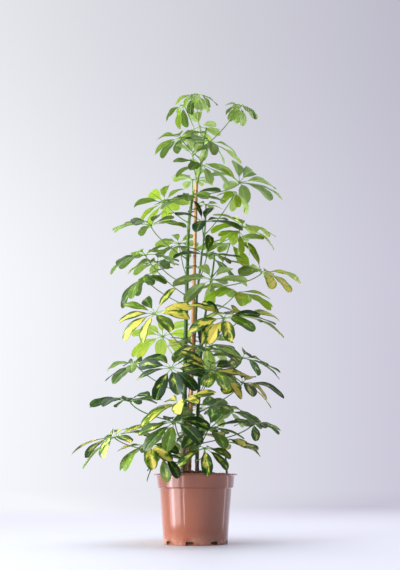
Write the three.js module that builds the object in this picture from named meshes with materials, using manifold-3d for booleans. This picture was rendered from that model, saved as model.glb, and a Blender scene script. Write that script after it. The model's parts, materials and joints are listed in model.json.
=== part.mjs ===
// A potted umbrella plant (Schefflera arboricola): a plastic nursery pot of soil, a bamboo cane,
// four shoots of which two ties hold the tallest to the cane, and fifty compound leaves.
// Millimetres, +Z up, -Y to the front, origin at the middle of the flat base of the pot.

import * as THREE from 'three';
import { mergeVertices } from 'three/addons/utils/BufferGeometryUtils.js';
import Module from 'manifold-3d';

const wasm = await Module();
wasm.setup();

// ---------------------------------------------------------------- driving dimensions

const GAP = 0.3; // air between pieces that touch on the real plant

const POT_HEIGHT = 150;
const POT_BASE_R = 71;
const POT_WALL_TOP_R = 81;
const POT_WALL_TOP = 118;
const POT_COLLAR_R = 86;
const POT_LIP_R = 95;
const POT_LIP_THICK = 3;
const POT_WALL = 2;
const POT_FLOOR = 3;
const POT_SIDES = 30;
const NOTCHES = 8; // drainage notches round the base corner
const NOTCH_WIDTH = 17;
const NOTCH_HEIGHT = 8;
const NOTCH_DEPTH = 6;
const NOTCH_TURN = 35; // degrees from +X to the first notch

const SOIL_EDGE = 145; // height of the soil at the wall
const SOIL_MOUND = 9; // how much higher it is in the middle
const SOIL_SIDES = 20;
const ROOT_BOTTOM = 95; // the shoots stand in holes in the soil that reach down to here

const CANE_R = 4.5;
const CANE_FOOT = [-17, 0, 20];
const CANE_TOP = [1, 0, 861];

const TIE_HEIGHTS = [642, 790];
const TIE_BAND = 3; // height of the band
const TIE_THICK = 1.2;

const STEM_SIDES = 6;
const PETIOLE_SIDES = 4;
const PETIOLE_R = 1.5;
const PETIOLE_FOOT_R = 2.2;
const PETIOLE_STEPS = 3;

const HUB_R = 3.2; // the knuckle where the leaflets of a leaf meet
const HUB_HALF = 1.1;
const HUB_NECK = 4.5; // from the knuckle down to the round petiole
const FAN = 335; // degrees that the leaflets share, the rest is the gap over the petiole
const OUTER_LONGER = 0.88; // leaflets far from the shoot are longer, from about this share up to 1
const HALF_LEAST = 4; // half width of a blade is this much, and HALF_SHARE of its length
const HALF_SHARE = 0.125;
const STALK_END = 0.2; // share of a leaflet that is bare stalk
const STALK_R = 1.1;
const BLADE_HALF = 0.8; // half the thickness of a blade at its midrib
const FOLD = 0.16; // how far the blade edges rise over the midrib, as a share of the half width

// Half width of a blade along the leaflet, as a share of its widest half width.
const OUTLINE = [[0.2, 0.1], [0.5, 0.9], [0.84, 0.96], [1.03, 0]];

// Air kept round a leaflet while it is bent clear of what is already there.
const CLEAR_TUBE = 6.5;
const CLEAR_LEAFLET = 9;
const CLEAR_SISTER = 3; // between leaflets of one leaf
const CLEAR_POT = 7;

// ---------------------------------------------------------------- the shoots

// Each shoot: points of its middle line from the soil up, radius at the soil and at the top, and
// the young whorl that ends it: leaflets, length, droop, lean, toward, spin.
const SHOOTS = {
  a: {
    points: [[-29, -12, 150], [-26, 2, 320], [-24, 8, 490], [-21, 11, 640], [-15, 13, 785],
      [-8, 13, 831], [10, 9, 901], [16, 6, 947], [20, 3, 985], [26, -4, 1012]],
    radius: [6.2, 2.6],
    whorl: { count: 6, length: 36, droop: -50, lean: 10, toward: 300, spin: 20 },
  },
  b: {
    points: [[-22, 15, 150], [-16, 13, 280], [-8, 12, 400], [-1, 11, 500], [3, 9, 574],
      [9, 2, 624], [14, -1, 670], [20, -2, 715], [24, 2, 765], [25, 4, 805]],
    radius: [5.2, 1.6],
    whorl: { count: 6, length: 42, droop: 15, lean: 10, toward: 280, spin: 0 },
  },
  c: {
    points: [[3, 22, 150], [4, 19, 260], [8, 16, 360], [16, 13, 470], [30, 11, 570],
      [42, 7, 640], [46, 4, 672]],
    radius: [4.8, 2.2],
    whorl: { count: 6, length: 38, droop: -35, lean: 20, toward: 320, spin: 10 },
  },
  d: {
    points: [[70, -22, 150], [68, -20, 185], [65, -17, 220]],
    radius: [2.3, 1.6],
    whorl: { count: 7, length: 92, droop: 2, lean: 12, toward: 350, spin: 0 },
  },
};

// ---------------------------------------------------------------- the leaves

// Each leaf: shoot, height of the petiole's foot on it, hub [x, y, z], lean of the hub's axis from
// upright and the way it leans (degrees from +X), number of leaflets, their length, how far they
// droop from the hub's plane (degrees), and the turn of the fan about the hub's axis.
const LEAVES = [
  ['a', 976, [-35, 50, 1108], 32, 165, 8, 66, 34, 0],
  ['a', 988, [0, -20, 1100], 4, 270, 8, 70, 42, 20],
  ['a', 966, [112, -10, 1074], 16, 0, 9, 58, 42, 10],
  ['a', 955, [8, 55, 1046], 25, 120, 7, 62, 15, 0],
  ['a', 930, [-38, -30, 972], 20, 200, 8, 80, 6, 0],
  ['a', 915, [35, -42, 955], 30, 330, 8, 92, 18, 22],
  ['a', 872, [-8, -52, 915], 20, 270, 7, 50, -30, 30],
  ['a', 820, [-10, 80, 905], 4, 270, 8, 62, 0, 0],
  ['a', 868, [16, -45, 890], 24, 320, 8, 84, 15, 0],
  ['a', 835, [110, 12, 868], 20, 350, 9, 110, 2, 15],
  ['b', 725, [96, -36, 822], 20, 340, 7, 60, 46, 0],
  ['a', 760, [-80, 15, 815], 26, 160, 9, 88, 5, 10],
  ['a', 742, [-12, -56, 800], 22, 262, 9, 90, 2, 0],
  ['b', 700, [118, 20, 752], 34, 322, 9, 100, 0, 0],
  ['a', 665, [-110, -25, 740], 18, 255, 9, 96, 0, 0],
  ['b', 712, [17, -50, 739], 28, 285, 8, 98, -4, 0],
  ['a', 622, [-45, 88, 730], 22, 110, 9, 62, 4, 0],
  ['b', 688, [102, -40, 718], 25, 340, 7, 64, 50, 20],
  ['c', 620, [84, 40, 715], 16, 260, 9, 100, 6, 0],
  ['a', 600, [-98, 60, 672], 16, 180, 9, 76, 8, 0],
  ['a', 572, [-122, -20, 665], 18, 220, 9, 90, 8, 0],
  ['b', 608, [26, -42, 656], 22, 290, 9, 100, 0, 12],
  ['c', 590, [160, -5, 626], 28, 318, 9, 108, 4, 0],
  ['a', 548, [-130, 45, 628], 26, 195, 9, 90, 20, 0],
  ['c', 572, [38, -64, 590], 10, 100, 9, 92, 4, 0],
  ['c', 520, [96, -28, 570], 20, 320, 9, 98, 4, 0],
  ['c', 455, [112, 48, 528], 20, 322, 9, 108, 0, 0],
  ['a', 442, [-95, -42, 515], 56, 250, 9, 96, 0, 0],
  ['b', 440, [66, -56, 500], 54, 272, 9, 94, 0, 10],
  ['a', 400, [-85, 110, 490], 22, 130, 9, 94, 10, 0],
  ['b', 398, [25, 130, 478], 22, 85, 9, 98, 10, 0],
  ['c', 372, [8, -34, 428], 25, 320, 9, 96, -4, 0],
  ['c', 335, [35, 120, 412], 20, 60, 9, 92, 12, 0],
  ['c', 388, [115, 80, 430], 20, 25, 9, 100, 4, 0],
  ['a', 332, [-145, 40, 408], 34, 230, 9, 84, 4, 0],
  ['a', 326, [-54, -105, 376], 50, 266, 9, 84, 2, 12],
  ['c', 318, [34, -100, 370], 36, 300, 9, 88, 8, 0],
  ['c', 292, [108, -25, 354], 30, 322, 9, 98, 4, 0],
  ['a', 262, [-150, -18, 312], 10, 195, 9, 96, 6, 0],
  ['a', 232, [-34, -70, 300], 30, 218, 9, 100, -2, 10],
  ['c', 238, [72, 75, 300], 18, 20, 9, 94, 10, 0],
  ['b', 240, [8, 145, 312], 22, 88, 9, 88, 12, 0],
  ['a', 214, [-44, -118, 256], 34, 262, 9, 88, 8, 0],
  ['c', 218, [134, 22, 266], 16, 0, 8, 64, 8, 0],
  ['c', 206, [28, -95, 243], 26, 330, 9, 90, 8, 10],
  ['a', 194, [-185, -12, 232], 28, 212, 9, 112, 10, 10],
  ['b', 190, [-62, 128, 242], 25, 120, 9, 84, 12, 0],
  ['a', 182, [-104, -88, 210], 28, 235, 9, 80, 12, 0],
  ['c', 180, [20, -130, 200], 34, 276, 7, 70, 24, 0],
  ['a', 172, [-70, -105, 188], 32, 230, 6, 66, 26, 0],
];

// ---------------------------------------------------------------- looks

const COLOURS = {
  pot: 0xb2694b,
  soil: 0x2b2019,
  cane: 0xc48a4a,
  tie: 0x3d6b35,
  stem: 0x5d7a34,
  leaf: 0x3f7d33,
};

function look(colour, roughness) {
  return new THREE.MeshStandardMaterial({ color: colour, roughness, metalness: 0 });
}

// ---------------------------------------------------------------- small helpers

const rad = THREE.MathUtils.degToRad;

function vec(x, y, z) {
  return new THREE.Vector3(x, y, z);
}

// Seeded draws, so that every build gives the same plant.
let seed = 20240;

function draw(low, high) {
  seed = (seed * 1664525 + 1013904223) % 4294967296;
  return low + (high - low) * seed / 4294967296;
}

// A closed mesh collected point by point.
function newSolid() {
  return { points: [], faces: [] };
}

function addPoint(solid, point) {
  solid.points.push(point.x, point.y, point.z);
  return solid.points.length / 3 - 1;
}

function toGeometry(solid) {
  const geometry = new THREE.BufferGeometry();
  geometry.setAttribute('position', new THREE.Float32BufferAttribute(solid.points, 3));
  geometry.setIndex(solid.faces);
  geometry.computeVertexNormals();
  return geometry;
}

// Joins two rings of equal count, both counter-clockwise seen from the end that `to` is nearer.
function joinRings(solid, from, to) {
  const count = from.length;
  for (let k = 0; k < count; k += 1) {
    const next = (k + 1) % count;
    solid.faces.push(from[k], from[next], to[next], from[k], to[next], to[k]);
  }
}

// Joins two rings of any counts that start at the same angle and turn the same way.
function joinUnevenRings(solid, from, to) {
  let i = 0;
  let k = 0;
  while (i < from.length || k < to.length) {
    const a = from[i % from.length];
    const b = to[k % to.length];
    if ((i + 1) * to.length <= (k + 1) * from.length) {
      solid.faces.push(a, from[(i + 1) % from.length], b);
      i += 1;
    } else {
      solid.faces.push(a, to[(k + 1) % to.length], b);
      k += 1;
    }
  }
}

function closeRing(solid, ring, facesBack) {
  for (let k = 1; k < ring.length - 1; k += 1) {
    const pair = facesBack ? [ring[k + 1], ring[k]] : [ring[k], ring[k + 1]];
    solid.faces.push(ring[0], ...pair);
  }
}

// A ring of points round a place on a stalk, square to the way it runs.
function ringPoints(middle, along, first, radius, sides) {
  const second = along.clone().cross(first);
  const ring = [];
  for (let k = 0; k < sides; k += 1) {
    const turn = 2 * Math.PI * k / sides;
    const point = middle.clone().addScaledVector(first, radius * Math.cos(turn));
    ring.push(point.addScaledVector(second, radius * Math.sin(turn)));
  }
  return ring;
}

// A straight closed rod between two places.
function rod(from, to, radius) {
  const solid = newSolid();
  const along = to.clone().sub(from).normalize();
  const first = vec(0, 1, 0).addScaledVector(along, -along.y).normalize();
  const [low, high] = [from, to].map((end) => ringPoints(end, along, first, radius, STEM_SIDES)
    .map((point) => addPoint(solid, point)));
  joinRings(solid, low, high);
  closeRing(solid, low, true);
  closeRing(solid, high, false);
  return toGeometry(solid);
}

// ---------------------------------------------------------------- shoots as paths

function onShoot(shoot, height) {
  const { points, radius } = shoot;
  let k = 0;
  while (k < points.length - 2 && points[k + 1][2] < height) k += 1;
  const low = vec(...points[k]);
  const high = vec(...points[k + 1]);
  const share = (height - low.z) / (high.z - low.z);
  const bottom = points[0][2];
  const top = points[points.length - 1][2];
  return {
    middle: low.clone().lerp(high, share),
    along: high.clone().sub(low).normalize(),
    radius: radius[0] + (radius[1] - radius[0]) * (height - bottom) / (top - bottom),
  };
}

// ---------------------------------------------------------------- bending leaflets clear

// Tubes (stems, cane, petioles) and leaflets that later leaflets keep clear of.
const tubes = [];
const placed = [];

function addTube(from, to, radius, leafNumber) {
  tubes.push({
    from,
    span: to.clone().sub(from),
    radius,
    middle: from.clone().add(to).multiplyScalar(0.5),
    reach: from.distanceTo(to) / 2 + radius,
    leafNumber,
  });
}

function distanceToTube(point, tube) {
  const offset = point.clone().sub(tube.from);
  const share = Math.min(1, Math.max(0, offset.dot(tube.span) / tube.span.lengthSq()));
  return offset.addScaledVector(tube.span, -share).length() - tube.radius;
}

// The least room left round a leaflet: negative where it comes closer than the clearances.
function roomAround(samples, middle, reach, leafNumber) {
  let room = 100;
  for (const point of samples) {
    const outside = Math.hypot(point.x, point.y) - POT_LIP_R;
    room = Math.min(room, Math.max(point.z - POT_HEIGHT, outside) - CLEAR_POT);
  }
  for (const tube of tubes) {
    if (tube.leafNumber === leafNumber) continue;
    if (tube.middle.distanceTo(middle) > reach + tube.reach + CLEAR_TUBE) continue;
    for (const point of samples) room = Math.min(room, distanceToTube(point, tube) - CLEAR_TUBE);
  }
  for (const other of placed) {
    if (other.middle.distanceTo(middle) > reach + other.reach + CLEAR_LEAFLET) continue;
    const clear = other.leafNumber === leafNumber ? CLEAR_SISTER : CLEAR_LEAFLET;
    for (const point of samples) {
      for (const theirs of other.samples) room = Math.min(room, point.distanceTo(theirs) - clear);
    }
  }
  return room;
}

// ---------------------------------------------------------------- one leaflet

function outlineAt(share) {
  if (share < STALK_END) return OUTLINE[0][1];
  let k = 0;
  while (k < OUTLINE.length - 2 && OUTLINE[k + 1][0] < share) k += 1;
  const [low, narrow] = OUTLINE[k];
  const [high, wide] = OUTLINE[k + 1];
  return narrow + (wide - narrow) * (share - low) / (high - low);
}

// The frame of a leaflet at a share of its length: its middle, the way across and the way up.
function leafletFrame(hub, leaflet, share) {
  const bend = rad(leaflet.arch);
  const start = bend / 2 - rad(leaflet.droop);
  const slope = start - bend * share;
  const turn = rad(leaflet.angle);
  const outward = hub.out.clone().multiplyScalar(Math.cos(turn));
  outward.addScaledVector(hub.side, Math.sin(turn));
  const across = hub.axis.clone().cross(outward);
  const reach = HUB_R + leaflet.length * (Math.sin(start) - Math.sin(slope)) / bend;
  const rise = leaflet.length * (Math.cos(slope) - Math.cos(start)) / bend;
  const middle = hub.middle.clone();
  middle.addScaledVector(outward, reach);
  middle.addScaledVector(hub.axis, rise);
  const up = hub.axis.clone().multiplyScalar(Math.cos(slope));
  up.addScaledVector(outward, -Math.sin(slope));
  const roll = rad(leaflet.roll);
  return {
    middle,
    across: across.clone().multiplyScalar(Math.cos(roll)).addScaledVector(up, Math.sin(roll)),
    up: up.clone().multiplyScalar(Math.cos(roll)).addScaledVector(across, -Math.sin(roll)),
  };
}

function leafletPoint(frame, width, height) {
  return frame.middle.clone().addScaledVector(frame.across, width).addScaledVector(frame.up, height);
}

const SAMPLE_SHARES = [0.12, 0.25, 0.4, 0.55, 0.7, 0.85, 1];
const SAMPLE_WIDTHS = [-1, -0.5, 0, 0.5, 1];

function leafletSamples(hub, leaflet) {
  const samples = [];
  for (const share of SAMPLE_SHARES) {
    const frame = leafletFrame(hub, leaflet, share);
    const half = leaflet.halfWidth * outlineAt(share);
    for (const width of SAMPLE_WIDTHS) {
      samples.push(leafletPoint(frame, half * width, half * FOLD * Math.abs(width)));
    }
  }
  return samples;
}

// What is tried, in this order, until a leaflet has room: a shorter leaflet is the last resort.
const TRY_LENGTHS = [1, 0.86, 0.72];
const TRY_LIFTS = [0, -8, 8, -16, 16, -25, 25, -36, 36, -48, 48];
const TRY_TURNS = [0, -6, 6];
const LEAST_ROOM = -2; // with less room than this a leaflet is left out

function bendClear(hub, wanted, leafNumber) {
  let best = null;
  for (const size of TRY_LENGTHS) {
    for (const lift of TRY_LIFTS) {
      for (const turn of TRY_TURNS) {
        const leaflet = {
          angle: wanted.angle + turn,
          droop: wanted.droop + lift,
          roll: wanted.roll,
          arch: wanted.arch,
          length: wanted.length * size,
          halfWidth: wanted.halfWidth * size,
        };
        const samples = leafletSamples(hub, leaflet);
        const middle = samples[0].clone().add(samples[samples.length - 1]).multiplyScalar(0.5);
        const reach = leaflet.length * 0.5 + leaflet.halfWidth;
        const room = roomAround(samples, middle, reach, leafNumber);
        if (!best || room > best.room) best = { leaflet, samples, middle, reach, room, leafNumber };
        if (best.room >= 0) break;
      }
      if (best.room >= 0) break;
    }
    if (best.room >= 0) break;
  }
  if (best.room < LEAST_ROOM) return null;
  placed.push(best);
  return best.leaflet;
}

// ---------------------------------------------------------------- one whorl of leaflets

function hubOf(middle, lean, toward) {
  const tilt = rad(lean);
  const way = rad(toward);
  const axis = vec(Math.sin(tilt) * Math.cos(way), Math.sin(tilt) * Math.sin(way), Math.cos(tilt));
  const out = vec(Math.cos(tilt) * Math.cos(way), Math.cos(tilt) * Math.sin(way), -Math.sin(tilt));
  return { middle, axis, out, side: axis.clone().cross(out) };
}

// Chooses the leaflets of a whorl. A place stays null where a leaflet finds no room.
function chooseLeaflets(hub, whorl, leafNumber) {
  const leaflets = [];
  for (let k = 0; k < whorl.count; k += 1) {
    const angle = (k - (whorl.count - 1) / 2) * FAN / whorl.count + whorl.spin;
    const outer = Math.cos(rad(angle));
    const share = OUTER_LONGER + (1 - OUTER_LONGER) * outer;
    const length = whorl.length * share * draw(0.93, 1.08);
    const wanted = {
      angle: angle + draw(-7, 7),
      droop: whorl.droop + draw(-13, 13),
      roll: draw(-22, 22),
      arch: draw(22, 58), // degrees that it bends along its length
      length,
      halfWidth: HALF_LEAST + length * HALF_SHARE,
    };
    leaflets.push(bendClear(hub, wanted, leafNumber));
  }
  return leaflets;
}

function hubPoint(hub, angle, height) {
  const turn = rad(angle);
  const point = hub.middle.clone().addScaledVector(hub.out, HUB_R * Math.cos(turn));
  return point.addScaledVector(hub.side, HUB_R * Math.sin(turn)).addScaledVector(hub.axis, height);
}

// Joins two sections of a leaflet. Both faces are split alike, from the midrib out to the edges.
function joinSections(solid, from, to) {
  for (let k = 0; k < 4; k += 1) {
    const next = (k + 1) % 4;
    if (k % 2 === 0) {
      solid.faces.push(from[k], to[k], from[next], from[next], to[k], to[next]);
    } else {
      solid.faces.push(from[k], to[k], to[next], from[k], to[next], from[next]);
    }
  }
}

function addLeaflet(solid, hub, leaflet, root) {
  let previous = root;
  for (const [share, width] of OUTLINE.slice(0, -1)) {
    const frame = leafletFrame(hub, leaflet, share);
    const onStalk = share <= STALK_END;
    const half = onStalk ? STALK_R : leaflet.halfWidth * width;
    const thick = onStalk ? STALK_R : BLADE_HALF;
    const rise = onStalk ? 0 : half * FOLD;
    const section = [
      addPoint(solid, leafletPoint(frame, -half, rise)),
      addPoint(solid, leafletPoint(frame, 0, thick)),
      addPoint(solid, leafletPoint(frame, half, rise)),
      addPoint(solid, leafletPoint(frame, 0, -thick)),
    ];
    joinSections(solid, previous, section);
    previous = section;
  }
  const [tipShare] = OUTLINE[OUTLINE.length - 1];
  const tip = addPoint(solid, leafletFrame(hub, leaflet, tipShare).middle);
  for (let k = 0; k < 4; k += 1) solid.faces.push(previous[k], tip, previous[(k + 1) % 4]);
}

// Builds hub and leaflets, and gives back the ring of points round the underside of the hub.
function addWhorl(solid, hub, whorl, leaflets) {
  const count = whorl.count;
  const step = FAN / count;
  const edges = [];
  const tops = [];
  const bottoms = [];
  for (let k = 0; k < count; k += 1) {
    const angle = (k - (count - 1) / 2) * step + whorl.spin;
    const edge = k === 0 ? whorl.spin - 180 : angle - step / 2;
    edges.push(addPoint(solid, hubPoint(hub, edge, 0)));
    tops.push(addPoint(solid, hubPoint(hub, angle, HUB_HALF)));
    bottoms.push(addPoint(solid, hubPoint(hub, angle, -HUB_HALF)));
  }
  const crown = addPoint(solid, hub.middle.clone().addScaledVector(hub.axis, HUB_HALF * 1.6));
  const under = [];
  for (let k = 0; k < count; k += 1) {
    const next = (k + 1) % count;
    const root = [edges[k], tops[k], edges[next], bottoms[k]];
    solid.faces.push(crown, edges[k], tops[k], crown, tops[k], edges[next]);
    under.push(edges[k], bottoms[k]);
    if (leaflets[k]) addLeaflet(solid, hub, leaflets[k], root);
    else solid.faces.push(root[2], root[1], root[3], root[1], root[0], root[3]);
  }
  return under;
}

// Continues from the underside of a hub down a list of stations to the closed lower end.
function addStalk(solid, hub, spin, under, stations, sides) {
  const turn = rad(spin - 180);
  let first = hub.out.clone().multiplyScalar(Math.cos(turn)).addScaledVector(hub.side, Math.sin(turn));
  let previous = under;
  for (const station of stations) {
    first = first.addScaledVector(station.along, -first.dot(station.along)).normalize();
    const ring = ringPoints(station.middle, station.along, first, station.radius, sides)
      .map((point) => addPoint(solid, point));
    if (previous.length === ring.length) joinRings(solid, ring, previous);
    else joinUnevenRings(solid, ring, previous);
    previous = ring;
  }
  closeRing(solid, previous, true);
}

// ---------------------------------------------------------------- shoots

function shootStations(shoot) {
  const points = shoot.points.map((point) => vec(...point));
  const stations = [];
  for (let k = points.length - 2; k >= 0; k -= 1) {
    const above = points[k + 1];
    const below = points[Math.max(0, k - 1)];
    const along = k === 0 ? vec(0, 0, 1) : above.clone().sub(below).normalize();
    stations.push({ middle: points[k], along, radius: onShoot(shoot, points[k].z).radius });
  }
  const foot = points[0].clone();
  foot.z = ROOT_BOTTOM + GAP;
  stations.push({ middle: foot, along: vec(0, 0, 1), radius: shoot.radius[0] });
  return stations;
}

function shootHub(shoot) {
  const { whorl, points } = shoot;
  return hubOf(vec(...points[points.length - 1]), whorl.lean, whorl.toward);
}

function buildShoot(shoot, leaflets) {
  const solid = newSolid();
  const hub = shootHub(shoot);
  const under = addWhorl(solid, hub, shoot.whorl, leaflets);
  const stations = shootStations(shoot);
  const neck = hub.middle.clone().addScaledVector(hub.axis, -HUB_NECK);
  stations.unshift({ middle: neck, along: hub.axis, radius: shoot.radius[1] });
  addStalk(solid, hub, shoot.whorl.spin, under, stations, STEM_SIDES);
  return toGeometry(solid);
}

// ---------------------------------------------------------------- leaves

function readLeaf([shootName, height, hubPlace, lean, toward, count, length, droop, spin]) {
  const shoot = SHOOTS[shootName];
  const hub = hubOf(vec(...hubPlace), lean, toward);
  return { shootName, shoot, height, hub, whorl: { count, length, droop, spin } };
}

// The petiole leaves the shoot square to it, with a flat foot, and bends up into the hub.
function petioleStations(leaf) {
  const at = onShoot(leaf.shoot, leaf.height);
  const end = leaf.hub.middle.clone().addScaledVector(leaf.hub.axis, -HUB_NECK);
  const outward = end.clone().sub(at.middle);
  outward.addScaledVector(at.along, -outward.dot(at.along)).normalize();
  const start = at.middle.clone().addScaledVector(outward, at.radius + GAP);
  const length = start.distanceTo(end);
  const straight = end.clone().sub(start).normalize();
  const curve = new THREE.CubicBezierCurve3(
    start,
    start.clone().addScaledVector(outward, length * 0.1).addScaledVector(straight, length * 0.2),
    end.clone().addScaledVector(leaf.hub.axis, -length * 0.15).addScaledVector(straight, -length * 0.15),
    end,
  );
  const stations = [];
  for (let k = PETIOLE_STEPS; k >= 0; k -= 1) {
    const share = k / PETIOLE_STEPS;
    const radius = k === 0 ? PETIOLE_FOOT_R : PETIOLE_R;
    stations.push({
      middle: curve.getPoint(share),
      along: k === 0 ? outward : curve.getTangent(share),
      radius,
    });
  }
  stations[0].along = leaf.hub.axis;
  return stations;
}

function buildLeaf(leaf, leaflets) {
  const solid = newSolid();
  const under = addWhorl(solid, leaf.hub, leaf.whorl, leaflets);
  addStalk(solid, leaf.hub, leaf.whorl.spin, under, leaf.stations, PETIOLE_SIDES);
  return toGeometry(solid);
}

// ---------------------------------------------------------------- cutting with manifold-3d

function toManifold(geometry) {
  const bare = geometry.clone();
  bare.deleteAttribute('normal');
  bare.deleteAttribute('uv');
  const merged = mergeVertices(bare, 1e-4);
  return new wasm.Manifold(new wasm.Mesh({
    numProp: 3,
    vertProperties: new Float32Array(merged.attributes.position.array),
    triVerts: new Uint32Array(merged.index.array),
  }));
}

function fromManifold(manifold) {
  const { vertProperties, triVerts } = manifold.getMesh();
  return toGeometry({ points: Array.from(vertProperties), faces: Array.from(triVerts) });
}

// ---------------------------------------------------------------- pot

function turned(profile, sides) {
  const geometry = new THREE.LatheGeometry(profile.map(([r, z]) => new THREE.Vector2(r, z)), sides);
  return geometry.rotateX(Math.PI / 2);
}

function innerWallR(height) {
  const share = (height - POT_FLOOR) / (POT_WALL_TOP - POT_FLOOR);
  return POT_BASE_R - POT_WALL + (POT_WALL_TOP_R - POT_BASE_R) * share;
}

function buildPot() {
  const profile = [
    [0, 0],
    [POT_BASE_R - 2, 0],
    [POT_BASE_R, 2],
    [POT_WALL_TOP_R, POT_WALL_TOP],
    [POT_COLLAR_R - 1, POT_WALL_TOP + 2],
    [POT_COLLAR_R + 2, POT_HEIGHT - POT_LIP_THICK - 2],
    [POT_LIP_R, POT_HEIGHT - POT_LIP_THICK],
    [POT_LIP_R, POT_HEIGHT - 1],
    [POT_LIP_R - 2, POT_HEIGHT],
    [POT_COLLAR_R, POT_HEIGHT - 1],
    [POT_COLLAR_R - POT_WALL - 1, POT_WALL_TOP + 5],
    [innerWallR(POT_WALL_TOP), POT_WALL_TOP],
    [innerWallR(POT_FLOOR), POT_FLOOR],
    [0, POT_FLOOR],
  ];
  let pot = toManifold(turned(profile, POT_SIDES));
  for (let k = 0; k < NOTCHES; k += 1) {
    const notch = new THREE.BoxGeometry(NOTCH_DEPTH * 2, NOTCH_WIDTH, NOTCH_HEIGHT * 2);
    notch.translate(POT_BASE_R, 0, 0).rotateZ(rad(NOTCH_TURN + 360 * k / NOTCHES));
    pot = pot.subtract(toManifold(notch));
  }
  return fromManifold(pot);
}

// ---------------------------------------------------------------- soil

function soilHeight(radius, angle) {
  const share = 1 - (radius / POT_WALL_TOP_R) ** 2;
  const ripple = Math.sin(3 * angle + radius * 0.11) + Math.sin(5 * angle - radius * 0.17);
  return SOIL_EDGE + SOIL_MOUND * share + 0.9 * ripple * Math.min(1, radius / 20);
}

function buildSoil() {
  const collarInner = POT_COLLAR_R - POT_WALL - 1;
  const rim = collarInner - 1;
  const step = innerWallR(POT_WALL_TOP) - GAP;
  const profile = [
    [0, POT_FLOOR + GAP],
    [innerWallR(POT_FLOOR) - GAP - 1, POT_FLOOR + GAP],
    [step - 1, POT_WALL_TOP],
    [rim - 0.5, POT_WALL_TOP + 8],
    [rim, SOIL_EDGE],
    [rim * 0.66, SOIL_EDGE],
    [rim * 0.33, SOIL_EDGE],
    [0, SOIL_EDGE + SOIL_MOUND],
  ];
  const bare = turned(profile, SOIL_SIDES);
  const place = bare.attributes.position;
  for (let k = 0; k < place.count; k += 1) {
    const radius = Math.hypot(place.getX(k), place.getY(k));
    const angle = Math.atan2(place.getY(k), place.getX(k));
    if (Math.abs(place.getZ(k) - SOIL_EDGE) < 0.01) place.setZ(k, soilHeight(radius, angle));
  }
  let soil = toManifold(bare);
  const wider = (radius) => (radius + GAP) / Math.cos(Math.PI / STEM_SIDES);
  const above = POT_HEIGHT + SOIL_MOUND;
  for (const { points: [[x, y]], radius: [radius] } of Object.values(SHOOTS)) {
    soil = soil.subtract(toManifold(rod(vec(x, y, ROOT_BOTTOM), vec(x, y, above), wider(radius))));
  }
  const caneHole = rod(caneAt(CANE_FOOT[2] - GAP), caneAt(above), wider(CANE_R));
  soil = soil.subtract(toManifold(caneHole));
  return fromManifold(soil);
}

// ---------------------------------------------------------------- cane and ties

function caneAt(height) {
  const foot = vec(...CANE_FOOT);
  const top = vec(...CANE_TOP);
  return foot.lerp(top, (height - foot.z) / (top.z - foot.z));
}

function buildCane() {
  return rod(caneAt(CANE_FOOT[2]), caneAt(CANE_TOP[2]), CANE_R);
}

// A flat band round the tallest shoot and the cane: two half rounds and the two straights.
function buildTie(height) {
  const stem = onShoot(SHOOTS.a, height);
  const cane = caneAt(height);
  const way = Math.atan2(cane.y - stem.middle.y, cane.x - stem.middle.x);
  const inside = Math.max(stem.radius, CANE_R) + GAP * 2;
  const loop = (PathType, radius) => {
    const path = new PathType();
    path.absarc(cane.x, cane.y, radius, way - Math.PI / 2, way + Math.PI / 2, false);
    path.absarc(stem.middle.x, stem.middle.y, radius, way + Math.PI / 2, way + Math.PI * 1.5, false);
    path.closePath();
    return path;
  };
  const outline = loop(THREE.Shape, inside + TIE_THICK);
  outline.holes.push(loop(THREE.Path, inside));
  const band = new THREE.ExtrudeGeometry(outline, {
    depth: TIE_BAND,
    bevelEnabled: false,
    curveSegments: 5,
  });
  return band.translate(0, 0, height - TIE_BAND / 2);
}

// ---------------------------------------------------------------- the plant

const plant = new THREE.Group();

function addPiece(name, geometry, material) {
  const mesh = new THREE.Mesh(geometry, material);
  mesh.name = name;
  plant.add(mesh);
}

addPiece('pot', buildPot(), look(COLOURS.pot, 0.35));
addPiece('soil', buildSoil(), look(COLOURS.soil, 0.95));
addPiece('cane', buildCane(), look(COLOURS.cane, 0.6));
TIE_HEIGHTS.forEach((height, k) => {
  addPiece(`tie_${k + 1}`, buildTie(height), look(COLOURS.tie, 0.6));
});

// Stems, cane and petioles come first, so that every leaflet can be bent clear of them.
const leaves = LEAVES.map(readLeaf);
addTube(caneAt(SOIL_EDGE), caneAt(CANE_TOP[2]), CANE_R);
for (const shoot of Object.values(SHOOTS)) {
  const points = shoot.points.map((point) => vec(...point));
  for (let k = 0; k < points.length - 1; k += 1) {
    addTube(points[k], points[k + 1], onShoot(shoot, points[k].z).radius);
  }
}
leaves.forEach((leaf, number) => {
  leaf.stations = petioleStations(leaf);
  for (let k = 0; k < leaf.stations.length - 1; k += 1) {
    addTube(leaf.stations[k].middle, leaf.stations[k + 1].middle, PETIOLE_R, number);
  }
  addTube(leaf.stations[0].middle, leaf.hub.middle, HUB_R, number);
});

for (const [name, shoot] of Object.entries(SHOOTS)) {
  const leaflets = chooseLeaflets(shootHub(shoot), shoot.whorl, `shoot ${name}`);
  addPiece(`stem_${name}`, buildShoot(shoot, leaflets), look(COLOURS.stem, 0.7));
}

const numberOn = {};
leaves.forEach((leaf, number) => {
  const onThisShoot = (numberOn[leaf.shootName] ?? 0) + 1;
  numberOn[leaf.shootName] = onThisShoot;
  const leaflets = chooseLeaflets(leaf.hub, leaf.whorl, number);
  const name = `leaf_${leaf.shootName}_${String(onThisShoot).padStart(2, '0')}`;
  addPiece(name, buildLeaf(leaf, leaflets), look(COLOURS.leaf, 0.5));
});

export default plant;
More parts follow.
